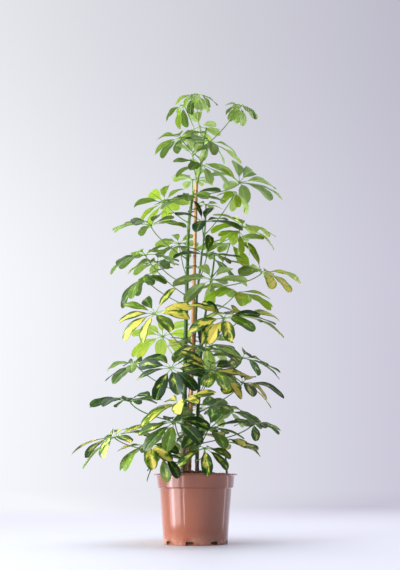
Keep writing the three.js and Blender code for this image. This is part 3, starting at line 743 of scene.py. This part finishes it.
def smooth_path(points, heights):
    """A smooth line through the points of a shoot, read at heights."""
    knots = np.array(points, float)
    slopes = np.gradient(knots[:, :2], knots[:, 2], axis=0)
    rows = []
    for height in heights:
        k = int(np.clip(np.searchsorted(knots[:, 2], height) - 1, 0, len(knots) - 2))
        span = knots[k + 1, 2] - knots[k, 2]
        s = np.clip((height - knots[k, 2]) / span, 0, 1)
        low, high = knots[k, :2], knots[k + 1, :2]
        place = (low * (2 * s ** 3 - 3 * s ** 2 + 1) + high * (3 * s ** 2 - 2 * s ** 3)
                 + slopes[k] * span * (s ** 3 - 2 * s ** 2 + s) + slopes[k + 1] * span * (s ** 3 - s ** 2))
        rows.append((*place, height))
    return np.array(rows)


def build_stem(name, shoot, whorl, feet, draws, materials):
    """A stem with the scars of lost leaves, swollen where a leaf grows, and its young whorl."""
    pile = Pile()
    hub = whorl["hub"]
    top = shoot["points"][-1][2]
    heights = np.arange(ROOT_TOP, top - HUB_NECK - 1, STEM_STEP)
    centres = smooth_path(shoot["points"], heights)
    thick, thin = shoot["radius"]
    share = np.clip((heights - SOIL_EDGE) / (top - SOIL_EDGE), 0, 1)
    radii = thick + (thin - thick) * share + ROOT_FLARE * np.exp(-np.maximum(heights - SOIL_EDGE, 0) / 5)
    old_scars = np.arange(160, top - 60, SCAR_STEP) + draws(-4, 4)
    for scar in (*feet, *old_scars):
        radii = radii + SCAR_SWELL * bell(heights, scar - 2, 3.2)
        radii = radii - SCAR_DENT * bell(heights, scar + 4, 2.5)
    turns = even_turns(STEM_SIDES)
    rows = heights[:, None]
    lumps = 0.16 * np.sin(3 * turns + rows * 0.05) + 0.1 * np.sin(5 * turns + rows * 0.13)
    radii = radii[:, None] * (1 + lumps / thick)
    green = np.concatenate((share, np.ones(len(KNUCKLE))))
    add_stalk(pile, centres, radii, hub, STEM_SIDES, vec(1, 0, 0), LOOK_BARK, shades(0, green, 0))
    for k, leaflet in enumerate(whorl["leaflets"]):
        add_leaflet(pile, hub, leaflet, whorl["look"], WHORL_NUMBER + ord(name) * 10 + k, draws)
    pile.piece(f"shoot_{name}", materials, [f"stem_{name}"], "stem")


# ---- cane and ties

# The hollow cut end of the cane: depth under its top, how much narrower than the cane, darkness, which is
# painted shade that deepens down in the hollow.
CANE_END = ((0.5, 0, 0.2), (0, 0.35, 0.3), (0, 1.5, 0.5), (0.6, 1.9, 0.8), (14, 2, 1))


def build_cane(material):
    pile = Pile()
    axis = unit(vec(*CANE_TOP) - vec(*CANE_FOOT))
    heights = [np.arange(CANE_FOOT[2], CANE_TOP[2] - 1, CANE_STEP)]
    for node in CANE_NODES:
        heights.append(node + np.arange(-7, 8, 1.4))
    heights = np.unique(np.concatenate(heights))
    radii = CANE_R - CANE_TAPER * (heights - CANE_FOOT[2]) / (CANE_TOP[2] - CANE_FOOT[2])
    node_shade = np.zeros(len(heights))
    for node in CANE_NODES:
        radii = radii + NODE_SWELL * bell(heights, node, 1.5) - NODE_DENT * bell(heights, node + 3.2, 1.6)
        node_shade = np.maximum(node_shade, bell(heights, node + 0.5, 2.6))
    centres = [cane_at(height) for height in heights]
    depths, narrower, hollow_painted_shade = np.array(CANE_END).T
    centres = np.array(centres + [cane_at(CANE_TOP[2]) - axis * depth for depth in depths])
    radii = np.concatenate((radii, radii[-1] - narrower))
    # darker nodes, and painted shade that deepens down inside the hollow cut end
    node_and_hollow_shade = np.concatenate((node_shade, hollow_painted_shade))
    tint = shades(node_and_hollow_shade, np.clip((centres[:, 2] - 150) / 700, 0, 1), 0)
    alongs = np.tile(axis, (len(centres), 1))
    add_round(pile, centres, alongs, radii, CANE_SIDES, vec(0, 1, 0), tint=tint)
    pile.piece("bamboo_cane", [material], ["cane"], "bamboo", CANE_CREASE)


def build_tie(number, height, material):
    """A rounded band round the tallest shoot and the cane."""
    stem, _, stem_radius = on_shoot(SHOOTS["a"], height)
    cane = cane_at(height)
    way = atan2(cane[1] - stem[1], cane[0] - stem[0])
    inside = max(stem_radius, CANE_R) + GAP * 2
    turns = np.linspace(-pi / 2, pi / 2, TIE_STATIONS)
    out = around(np.concatenate((way + turns, way + pi + turns)))
    middles = np.repeat((cane, stem), TIE_STATIONS, axis=0)
    middles[:, 2] = height
    section = even_turns(TIE_SIDES) + pi / TIE_SIDES
    depth = inside + TIE_THICK / 2 + TIE_THICK / 2 * np.clip(np.cos(section) * 1.4, -1, 1)
    rise = TIE_BAND / 2 * np.clip(np.sin(section) * 1.3, -1, 1)
    points = middles[:, None] + out[:, None] * depth[:, None] + vec(0, 0, 1) * rise[:, None]
    pile = Pile()
    numbers = pile.add(points)
    numbers = np.concatenate((numbers, numbers[:1]))
    pile.grid(numbers, wrap=True, flip=True)
    pile.piece(f"plant_tie_{number}", [material], [f"tie_{number}"], "plant_tie")


# ---- pot

def inner_wall_r(height):
    share = (height - POT_FLOOR) / (POT_WALL_TOP - POT_FLOOR)
    return POT_BASE_R - POT_WALL + (POT_WALL_TOP_R - POT_BASE_R) * share


def add_turned(pile, profile, sides):
    """A turned form from (radius, height) rows that start and end on the axis."""
    ring = around(even_turns(sides))
    rows = [ring * radius + vec(0, 0, height) for radius, height in profile[1:-1]]
    numbers = pile.add(np.array(rows))
    low = int(pile.add(vec(0, 0, profile[0][1])[None])[0])
    high = int(pile.add(vec(0, 0, profile[-1][1])[None])[0])
    pile.grid(numbers, wrap=True)
    first, last = numbers[0], numbers[-1]
    pile.close([(low, b, a) for a, b in zip(first, np.roll(first, -1))])
    pile.close([(high, a, b) for a, b in zip(last, np.roll(last, -1))])
    return numbers


def pot_profile():
    """From the middle of the base up the outside, over the lip and down inside to the floor."""
    base, top, collar, lip = POT_BASE_R, POT_WALL_TOP_R, POT_COLLAR_R, POT_LIP_R
    inner = collar - POT_WALL
    step = POT_WALL_TOP
    high = POT_HEIGHT
    under = high - POT_LIP_THICK
    return (
        (0, 0), (FLAT_R, 0), (base - 2, 0), (base - 0.9, 0.25), (base - 0.25, 0.9), (base, 2),
        (base + 0.17, 4), (base + 0.75, 10), (base + 4, 48), (top - 2, 94), (top - 0.2, step - 2),
        (top + 0.3, step), (collar - 1.2, step + 1.6), (collar - 0.7, step + 2.4), (collar - 0.5, step + 4),
        (collar + 1.8, under - 3), (collar + 2.4, under - 1.6), (collar + 3.6, under - 0.6),
        (lip - 0.7, under), (lip - 0.1, under + 0.6), (lip, under + 1.4), (lip - 0.3, high - 0.6),
        (lip - 1.1, high - 0.1), (lip - 2, high), (collar + 2.6, high - 0.4), (collar + 0.8, high - 0.9),
        (inner + 1, high - 2.4), (inner - 1, step + 5), (inner_wall_r(step), step),
        (inner_wall_r(POT_FLOOR), POT_FLOOR), (FLAT_R, POT_FLOOR), (0, POT_FLOOR),
    )


def notch_cutter():
    """Rounded arches that cut the base corner."""
    half = NOTCH_WIDTH / 2
    bend = np.linspace(0, pi / 2, 5)
    y = half - NOTCH_CORNER + NOTCH_CORNER * np.cos(bend) - NOTCH_DRAFT * np.sin(bend)
    z = NOTCH_HEIGHT - NOTCH_CORNER + NOTCH_CORNER * np.sin(bend)
    across = np.concatenate(((-half, half), y, -y[::-1]))[:, None]
    rise = np.concatenate(((-NOTCH_HEIGHT, -NOTCH_HEIGHT), z, z[::-1]))[:, None] * vec(0, 0, 1)
    pile = Pile()
    for turn in radians(NOTCH_TURN) + even_turns(NOTCHES):
        out, side = around(vec(turn, turn + pi / 2))
        arch = side * across + rise
        reaches = (POT_BASE_R - NOTCH_DEPTH, POT_BASE_R + NOTCH_DEPTH)
        numbers = pile.add(np.array([arch + out * reach for reach in reaches]))
        pile.grid(numbers, wrap=True)
        pile.close([numbers[0][::-1], numbers[1]])
    return put("notches", pile.mesh("notches"))


def build_pot(material):
    pile = Pile()
    add_turned(pile, pot_profile(), POT_SIDES)
    pot = pile.piece("nursery_pot", [material], ["pot"], "pot_plastic")
    cutter = notch_cutter()
    cut = pot.modifiers.new("notches", "BOOLEAN")
    cut.operation = "DIFFERENCE"
    cut.solver = "EXACT"
    cut.object = cutter
    shaped = pot.evaluated_get(bpy.context.evaluated_depsgraph_get())
    mesh = bpy.data.meshes.new_from_object(shaped)
    pot.modifiers.clear()
    pot.data = mesh
    mesh.set_sharp_from_angle(angle=radians(POT_CREASE))
    bpy.data.objects.remove(cutter)


# ---- soil

def soil_height(radius, angle):
    share = 1 - (radius / POT_WALL_TOP_R) ** 2
    ripple = sin(3 * angle + radius * 0.11) + sin(5 * angle - radius * 0.17)
    return SOIL_EDGE + SOIL_MOUND * share + 0.9 * ripple * min(1, radius / 20)


def crumb(x, y, scale):
    return noise.noise(Vector((x, y, 7.3)) * scale)


def build_soil(material):
    pile = Pile()
    rim = POT_COLLAR_R - POT_WALL - 2
    side = [(0, POT_FLOOR + GAP), (inner_wall_r(POT_FLOOR) - GAP - 1, POT_FLOOR + GAP),
            (inner_wall_r(POT_WALL_TOP) - GAP - 1, POT_WALL_TOP), (rim - 0.5, POT_WALL_TOP + 8)]
    radii = rim * np.linspace(1, 0, SOIL_RINGS) ** 0.9
    top = [(radius, SOIL_EDGE) for radius in radii[:-1]] + [(0, SOIL_EDGE + SOIL_MOUND)]
    numbers = add_turned(pile, side + top, SOIL_SPOKES)
    points = pile.points[0]
    for n in numbers[len(side) - 1:].ravel():
        x, y, _ = points[n]
        height = soil_height(hypot(x, y), atan2(y, x))
        rough = 2.2 * crumb(x, y, 0.09) + 1.5 * crumb(x, y, 0.23) + 0.9 * abs(crumb(x, y, 0.6))
        points[n, 2] = height + rough
    add_chips(pile)
    pile.piece("potting_soil", [material], ["soil"], "potting_soil", SOIL_CREASE)


def add_chips(pile):
    """Crumbs and chips of bark that lie on the soil: stretched shapes with twenty sides."""
    draws = Draws(CHIP_SEED)
    golden = (1 + sqrt(5)) / 2
    pairs = [(short, long) for long in (golden, -golden) for short in (-1, 1)]
    corners = [(a, b, 0) for a, b in pairs] + [(0, a, b) for a, b in pairs] + [(b, 0, a) for a, b in pairs]
    corners = unit_rows(np.array(corners))
    near = corners @ corners.T > 0
    sides = []
    for a, b, c in combinations(range(len(corners)), 3):
        if near[a, b] and near[b, c] and near[a, c]:
            outward = np.linalg.det(corners[[a, b, c]]) > 0
            sides.append([a, b, c] if outward else [a, c, b])
    reach = POT_COLLAR_R - POT_WALL - 4
    for _ in range(CHIPS):
        radius = reach * sqrt(draws(0.02, 1))
        angle = draws(0, 2 * pi)
        size = draws(1.1, 2.2) + 2.4 * draws(0, 1) ** 4
        stretch = vec(*[draws(*limits) for limits in CHIP_STRETCH])
        uneven = 1 + CHIP_ROUGH * vec(*[draws(-1, 1) for _ in corners])
        lean = Matrix.Rotation(draws(-CHIP_LEAN, CHIP_LEAN), 3, "X")
        turned = np.array(lean @ Matrix.Rotation(draws(0, ANY_TURN), 3, "Z"))
        height = soil_height(radius, angle) + size * 0.35
        place = vec(radius * cos(angle), radius * sin(angle), height)
        shape = corners * stretch * size * uneven[:, None]
        numbers = pile.add(shape @ turned + place, tint=(draws(0, 1), 0, 0))
        pile.close([numbers[side] for side in sides])


# ---- materials

class Graph:
    """The nodes of a material or a world, made and linked in one call each."""

    def __init__(self, name, kind="materials"):
        self.owner = getattr(bpy.data, kind).new(name)
        self.owner.use_nodes = True
        self.nodes = self.owner.node_tree.nodes
        self.links = self.owner.node_tree.links
        self.nodes.clear()

    def add(self, kind, inputs=None, **settings):
        node = self.nodes.new("ShaderNode" + kind)
        for key, value in settings.items():
            setattr(node, key, value)
        for key, value in (inputs or {}).items():
            if isinstance(value, bpy.types.NodeSocket):
                self.links.new(value, node.inputs[key])
            else:
                node.inputs[key].default_value = value
        return node

    def attribute(self, name):
        node = self.add("Attribute", attribute_name=name)
        return self.add("SeparateXYZ", {0: node.outputs["Vector"]}).outputs

    def math(self, operation, a, b=0.0):
        return self.add("Math", {0: a, 1: b}, operation=operation).outputs[0]

    def plus(self, a, b):
        return self.math("ADD", a, b)

    def minus(self, a, b):
        return self.math("SUBTRACT", a, b)

    def times(self, a, b):
        return self.math("MULTIPLY", a, b)

    def span(self, value, low, high, to_low=0.0, to_high=1.0, kind="SMOOTHSTEP"):
        inputs = {0: value, 1: low, 2: high, 3: to_low, 4: to_high}
        return self.add("MapRange", inputs, interpolation_type=kind).outputs[0]

    def mix(self, share, *colours):
        """A blend of two colours, each a socket or a screen colour from 0 to 255."""
        a, b = (linear(colour) if isinstance(colour, tuple) else colour for colour in colours)
        return self.add("Mix", {"Factor": share, 6: a, 7: b}, data_type="RGBA").outputs[2]

    def blend(self, share, a, b):
        """A blend of two shaders."""
        return self.add("MixShader", {0: share, 1: a.outputs[0], 2: b.outputs[0]})

    def vector(self, x, y, z):
        return self.add("CombineXYZ", {0: x, 1: y, 2: z}).outputs[0]

    def noise(self, vector, scale, detail=3.0, roughness=0.5):
        inputs = {"Scale": scale, "Detail": detail, "Roughness": roughness, "Vector": vector}
        return self.add("TexNoise", inputs).outputs[0]

    def place(self):
        return self.add("TexCoord").outputs["Object"]

    def stretched(self, x, y, z):
        return self.add("Mapping", {"Vector": self.place(), "Scale": (x, y, z)}).outputs[0]

    def cloud(self, scale, detail=3.0, roughness=0.5):
        """Noise with about as many patches in a metre as scale says."""
        return self.noise(self.place(), scale, detail, roughness)

    def streaks(self, x, y, z, detail=3.0, roughness=0.5):
        """The same, with its own number of patches in a metre along each axis."""
        return self.noise(self.stretched(x, y, z), 1.0, detail, roughness)

    def bump(self, height, strength, distance):
        inputs = {"Height": height, "Strength": strength, "Distance": distance}
        return self.add("Bump", inputs).outputs[0]

    def skin(self, colour, roughness, **more):
        """A surface. In the names of its other inputs, _ stands for a space."""
        inputs = {key.replace("_", " "): value for key, value in more.items()}
        return self.add("BsdfPrincipled", {"Base Color": colour, "Roughness": roughness, **inputs})

    def finish(self, shader):
        self.add("OutputMaterial", {"Surface": shader.outputs[0]})
        return self.owner


def linear(colour):
    """A screen colour from 0 to 255 as the linear colour that nodes take."""
    shares = [value / 255 for value in colour]
    return (*[v / 12.92 if v <= 0.04045 else ((v + 0.055) / 1.055) ** 2.4 for v in shares], 1.0)


def leaf_colours(graph, dark, light, yellow, cream, rib):
    """Green that turns yellow in an uneven middle, with a pale midrib and side veins."""
    across, along, number = graph.attribute("blade")
    yellowness, youth, tone = graph.attribute("tint")
    out = graph.math("ABSOLUTE", across)
    seeded = graph.times(number, 1.7)
    skewed = graph.minus(along, graph.times(out, 0.22))
    wide = graph.times(across, 0.9)
    patch = graph.noise(graph.vector(wide, graph.times(skewed, 2.3), seeded), 1.6, 3.0, 0.55)
    mottle = graph.noise(graph.vector(across, graph.times(skewed, 2.2), seeded), 2.2)
    lift = graph.times(graph.minus(mottle, 0.5), 0.2)
    green = graph.mix(graph.span(graph.plus(youth, lift), 0.15, 1.0), dark, light)
    green = graph.mix(graph.times(tone, 0.3), green, dark)
    inner = graph.times(graph.math("POWER", out, 2.2), 0.55)
    uneven = graph.times(graph.minus(patch, 0.5), 1.7)
    zone = graph.plus(graph.minus(yellowness, inner), uneven)
    half_zone = graph.span(zone, 0.16, 0.24, 0.0, 0.5)
    full_zone = graph.span(zone, 0.33, 0.38)
    green = graph.mix(half_zone, green, light)
    sunny = graph.mix(mottle, yellow, cream)
    colour = graph.mix(full_zone, green, sunny)
    slant = graph.minus(graph.times(mottle, 1.6), graph.times(out, 2.6))
    vein_beat = graph.plus(graph.times(along, 11.0), slant)
    wave = graph.math("ABSOLUTE", graph.math("SINE", graph.times(vein_beat, pi)))
    veins = graph.math("POWER", wave, 14.0)
    colour = graph.mix(graph.times(veins, 0.09), colour, rib)
    midrib = graph.span(out, 0.02, 0.09, 1.0, 0.0)
    colour = graph.mix(graph.times(midrib, 0.5), colour, rib)
    height = graph.plus(graph.times(veins, 0.3), graph.times(mottle, 0.8))
    return colour, height


def leaf_side(name, colours, roughness, bump, gloss, share):
    """Glossy skin over a leaf that lets a share of the light through, the younger the more."""
    graph = Graph(name)
    colour, height = leaf_colours(graph, *colours)
    _, youth, _ = graph.attribute("tint")
    rough = graph.span(graph.cloud(60.0), 0.3, 0.7, *roughness)
    share = graph.span(youth, 0.3, 1.0, share, share + 0.2)
    glow = graph.mix(graph.span(youth, 0.2, 1.0, 0.1, 0.6), colour, (196, 206, 84))
    normal = graph.bump(height, bump, 0.0006)
    skin = graph.skin(colour, rough, Specular_IOR_Level=gloss, Normal=normal)
    through = graph.add("BsdfTranslucent", {"Color": glow, "Normal": normal})
    return graph.finish(graph.blend(share, skin, through))


def leaf_top():
    # dark, light, yellow, cream, rib
    colours = (4, 40, 4), (134, 172, 26), (198, 174, 44), (218, 202, 108), (140, 184, 84)
    return leaf_side("leaf_top", colours, roughness=(0.3, 0.42), bump=0.25, gloss=0.4, share=0.26)


def leaf_under():
    # The underside is paler than the top by its own colour. Its light green is also raised as painted
    # light, standing in for light that reaches the undersides.
    colours = (66, 110, 42), (210, 230, 156), (222, 212, 100), (234, 226, 146), (176, 204, 132)
    return leaf_side("leaf_under", colours, roughness=(0.48, 0.6), bump=0.3, gloss=0.3, share=0.36)


def green_stalk(name, pale, deep, grey):
    """Midribs, leaflet stalks and petioles: streaked along, greyer in places."""
    graph = Graph(name)
    _, youth, _ = graph.attribute("tint")
    streaks = graph.streaks(700, 700, 60)
    blotches = graph.cloud(55.0, 2.0)
    colour = graph.mix(graph.span(youth, 0.1, 0.9), deep, pale)
    colour = graph.mix(graph.span(streaks, 0.35, 0.7, 0.0, 0.5), colour, grey)
    colour = graph.mix(graph.span(blotches, 0.5, 0.75, 0.0, 0.3), colour, deep)
    rough = graph.span(blotches, 0.3, 0.7, 0.4, 0.6)
    return graph.finish(graph.skin(colour, rough, Normal=graph.bump(streaks, 0.25, 0.0003)))


def stem_bark():
    """Green above, brown and corky by the soil, with pale pores."""
    graph = Graph("stem_bark")
    _, height, _ = graph.attribute("tint")
    streaks = graph.streaks(420, 420, 45, 4.0)
    blotches = graph.cloud(42.0)
    cells = graph.add("TexVoronoi", {"Scale": 1.0, "Vector": graph.stretched(330, 330, 200)})
    pore = graph.span(cells.outputs[0], 0.12, 0.26, 1.0, 0.0)
    uneven = graph.plus(height, graph.times(graph.minus(blotches, 0.5), 0.25))
    green = graph.mix(graph.span(uneven, 0.25, 0.9), (44, 80, 24), (82, 128, 38))
    colour = graph.mix(graph.span(uneven, 0.02, 0.16), (120, 98, 72), green)
    colour = graph.mix(graph.span(streaks, 0.4, 0.75, 0.0, 0.4), colour, (36, 62, 28))
    colour = graph.mix(graph.times(pore, 0.3), colour, (168, 160, 118))
    bumps = graph.plus(streaks, graph.times(pore, 0.7))
    rough = graph.span(streaks, 0.3, 0.8, 0.45, 0.7)
    return graph.finish(graph.skin(colour, rough, Normal=graph.bump(bumps, 0.4, 0.0006)))


def bamboo():
    graph = Graph("bamboo")
    node, height, _ = graph.attribute("tint")
    streaks = graph.streaks(900, 900, 14, 4.0, 0.6)
    blotches = graph.streaks(70, 70, 22)
    colour = graph.mix(graph.span(height, 0.1, 0.85), (170, 112, 64), (214, 162, 102))
    colour = graph.mix(graph.span(streaks, 0.35, 0.75, 0.0, 0.6), colour, (168, 104, 58))
    colour = graph.mix(graph.span(blotches, 0.55, 0.8, 0.0, 0.5), colour, (226, 178, 120))
    # node holds the darker nodes of the cane and also the painted shade inside its hollow cut end; both
    # turn the colour dark brown
    colour = graph.mix(graph.times(node, 0.6), colour, (96, 62, 38))
    rough = graph.span(blotches, 0.3, 0.7, 0.32, 0.5)
    normal = graph.bump(streaks, 0.3, 0.0005)
    return graph.finish(graph.skin(colour, rough, Normal=normal, Coat_Weight=0.15, Coat_Roughness=0.25))


def tie_plastic():
    graph = Graph("tie_plastic")
    grain = graph.cloud(900.0, 2.0)
    colour = graph.mix(grain, (48, 92, 46), (66, 112, 58))
    rough = graph.span(grain, 0.3, 0.7, 0.4, 0.55)
    return graph.finish(graph.skin(colour, rough, Normal=graph.bump(grain, 0.2, 0.0002)))


def pot_plastic():
    """Glossy terracotta-coloured plastic with flow streaks, fine scratches and a dusty foot."""
    graph = Graph("pot_plastic")
    flow = graph.streaks(24, 24, 3)
    mottle = graph.cloud(34.0, 4.0, 0.6)
    grain = graph.cloud(420.0, 2.0)
    scratches = graph.streaks(60, 60, 1400, 2.0)
    height = graph.add("SeparateXYZ", {0: graph.place()}).outputs[2]
    colour = graph.mix(flow, (134, 69, 42), (152, 83, 52))
    colour = graph.mix(graph.span(mottle, 0.45, 0.8, 0.0, 0.3), colour, (134, 72, 50))
    dust = graph.times(graph.span(height, 0.002, 0.03, 1.0, 0.0), graph.span(mottle, 0.3, 0.7))
    colour = graph.mix(graph.times(dust, 0.45), colour, (206, 160, 136))
    rough = graph.plus(graph.span(mottle, 0.3, 0.8, 0.12, 0.2), graph.times(dust, 0.25))
    rough = graph.plus(rough, graph.span(scratches, 0.66, 0.72, 0.0, 0.12))
    bumps = graph.plus(graph.times(flow, 3.0), graph.times(grain, 0.12))
    skin = graph.skin(colour, rough, Specular_IOR_Level=0.6, Normal=graph.bump(bumps, 0.25, 0.0004),
                      Coat_Weight=0.5, Coat_Roughness=0.07)
    return graph.finish(skin)


def soil_mix():
    graph = Graph("soil_mix")
    chip, _, _ = graph.attribute("tint")
    clumps = graph.cloud(160.0, 5.0, 0.65)
    grain = graph.cloud(900.0)
    colour = graph.mix(clumps, (26, 18, 13), (66, 48, 36))
    colour = graph.mix(graph.span(chip, 0.72, 0.97, 0.0, 0.75), colour, (112, 82, 58))
    colour = graph.mix(graph.span(grain, 0.62, 0.75, 0.0, 0.5), colour, (98, 78, 60))
    bumps = graph.plus(clumps, graph.times(grain, 0.5))
    rough = graph.span(clumps, 0.2, 0.8, 0.8, 1.0)
    return graph.finish(graph.skin(colour, rough, Normal=graph.bump(bumps, 0.7, 0.001)))


def backdrop(graph, way):
    """Colour and brightness of the soft backdrop in a direction: bright at left, greyer at right."""
    x, y, z = graph.add("SeparateXYZ", {0: way}).outputs
    side = graph.span(x, -0.26, 0.3, kind="LINEAR")
    colour = graph.mix(side, (246, 248, 253), (200, 197, 214))
    front = graph.span(y, -0.6, 0.6, 0.42, 1.0, "LINEAR")
    high = graph.plus(graph.span(z, 0.22, 0.62, 1.0, 0.84), graph.span(z, 0.66, 0.95, 0.0, 3.0))
    return colour, graph.times(front, high)


def floor_paint():
    """Pale paint that melts into the backdrop far from the plant: out there the floor is an emitter that
    glows with the backdrop's colour and brightness, as painted light.
    """
    graph = Graph("floor_paint")
    cloud = graph.cloud(3.0, 2.0)
    colour = graph.mix(cloud, (233, 233, 240), (238, 238, 245))
    skin = graph.skin(colour, 0.55)
    way = graph.add("VectorMath", {0: graph.place()}, operation="NORMALIZE").outputs[0]
    distance = graph.add("VectorMath", {0: graph.place()}, operation="LENGTH").outputs["Value"]
    far_colour, far_light = backdrop(graph, way)
    # painted light: the far floor glows with the backdrop's own colour and brightness
    far = graph.add("Emission", {"Color": far_colour, "Strength": far_light})
    return graph.finish(graph.blend(graph.span(distance, FADE_START, FADE_END), skin, far))


# ---- stage, light and camera

FLOOR_R = 60
FLOOR_SIDES = 96
FADE_START = 0.5  # where the floor begins to melt into the backdrop
FADE_END = 4

CAMERA_PLACE = (0.010, -1.750, 0.116)
CAMERA_RISE = 15.3  # degrees that the camera looks up
SENSOR_WIDTH = 36  # millimetres, as is the lens
LENS = 47.2

CARD_HEIGHT = 0.3
# Cards beside the pot: name, turn from the front in degrees, distance, width, brightness.
CARDS = (
    ("card_wide", 64, 0.28, 0.2, 3),
    ("card_bright", 68, 0.27, 0.045, 5),
    ("card_line", 33, 0.28, 0.009, 8),
    ("card_right", -98, 0.28, 0.02, 2),
)


def build_floor():
    """A round floor so wide that its edge can't be told from the backdrop."""
    mesh = bpy.data.meshes.new("floor")
    mesh.from_pydata(around(even_turns(FLOOR_SIDES)) * FLOOR_R, [], [range(FLOOR_SIDES)])
    mesh.materials.append(floor_paint())
    floor = put("floor", mesh)


def add_light(name, place, target, size, power, colour, lit, spread=180):
    """An area light that the camera doesn't see, which lights only what is in the collection lit."""
    data = bpy.data.lights.new(name, "AREA")
    data.shape = "RECTANGLE"
    data.size, data.size_y = size
    data.energy = power
    data.color = colour
    data.spread = radians(spread)
    light = put(name, data)
    light.location = place
    light.rotation_euler = (Vector(target) - Vector(place)).to_track_quat("-Z", "Y").to_euler()
    light.visible_camera = False
    light.light_linking.receiver_collection = lit
    return light


def add_card(name, turn, distance, width, brightness, lit):
    """A card beside the pot that shows only as a reflection in its wall."""
    middle = Vector((0, 0, CARD_HEIGHT / 2))
    way = Vector((-sin(radians(turn)), -cos(radians(turn)), 0))
    power = brightness * pi * width * CARD_HEIGHT
    card = add_light(name, middle + way * distance, middle, (width, CARD_HEIGHT), power,
                     (1.0, 0.92, 1.0), lit)
    card.visible_diffuse = False
    card.visible_transmission = False


def light_the_scene(lit, ground):
    """Two windows and four cards for the plant, a window for the floor, and a soft room for both."""
    add_light("window_floor", (-1.3, -1.1, 1.3), (-0.15, -0.05, 0), (0.9, 0.9), 3.1,
              (0.82, 0.94, 1.0), ground, 80)
    add_light("window_left", (-1.5, -0.7, 0.9), (0, 0, 0.75), (1.4, 2.2), 68, (0.94, 0.96, 1.0), lit, 140)
    behind = add_light("window_behind", (-1.3, 1.4, 1.7), (0, 0, 0.85), (1.5, 1.5), 104,
                       (1.0, 0.99, 0.95), lit, 120)
    behind.visible_glossy = False
    for card in CARDS:
        add_card(*card, lit)
    graph = Graph("soft_room", "worlds")
    colour, strength = backdrop(graph, graph.add("TexCoord").outputs["Generated"])
    light = graph.add("Background", {"Color": colour, "Strength": strength})
    graph.add("OutputWorld", {"Surface": light.outputs[0]})
    bpy.context.scene.world = graph.owner


def place_camera():
    data = bpy.data.cameras.new("camera")
    data.sensor_width = SENSOR_WIDTH
    data.lens = LENS
    camera = put("camera", data)
    camera.location = CAMERA_PLACE
    camera.rotation_euler = (radians(90 + CAMERA_RISE), 0, 0)
    bpy.context.scene.camera = camera


# ---- putting it together

place_camera()
build_floor()
bpy.context.scene.view_settings.view_transform = "Standard"

leaves, whorls = lay_out()

rib_look = green_stalk("leaf_rib", (146, 184, 78), (96, 136, 58), (142, 168, 100))
petiole_look = green_stalk("petiole", (120, 152, 70), (80, 108, 56), (112, 116, 84))
leaf_looks = [leaf_top(), leaf_under(), rib_look, petiole_look]

shape_draws = Draws(SHAPE_SEED)
for number, leaf in enumerate(leaves):
    build_leaf(leaf, number, shape_draws, leaf_looks)
bark_look = stem_bark()
for name, shoot in SHOOTS.items():
    feet = [leaf["foot"] for leaf in leaves if leaf["shoot"] == name]
    build_stem(name, shoot, whorls[name], feet, shape_draws, leaf_looks + [bark_look])
build_cane(bamboo())
tie_look = tie_plastic()
for k, height in enumerate(TIE_HEIGHTS):
    build_tie(k + 1, height, tie_look)
build_pot(pot_plastic())
build_soil(soil_mix())

plant = bpy.data.collections.new("plant")
ground = bpy.data.collections.new("ground")
for piece in bpy.context.scene.objects:
    if piece.type == "MESH":
        lit = ground if piece.name == "floor" else plant
        lit.objects.link(piece)
light_the_scene(plant, ground)
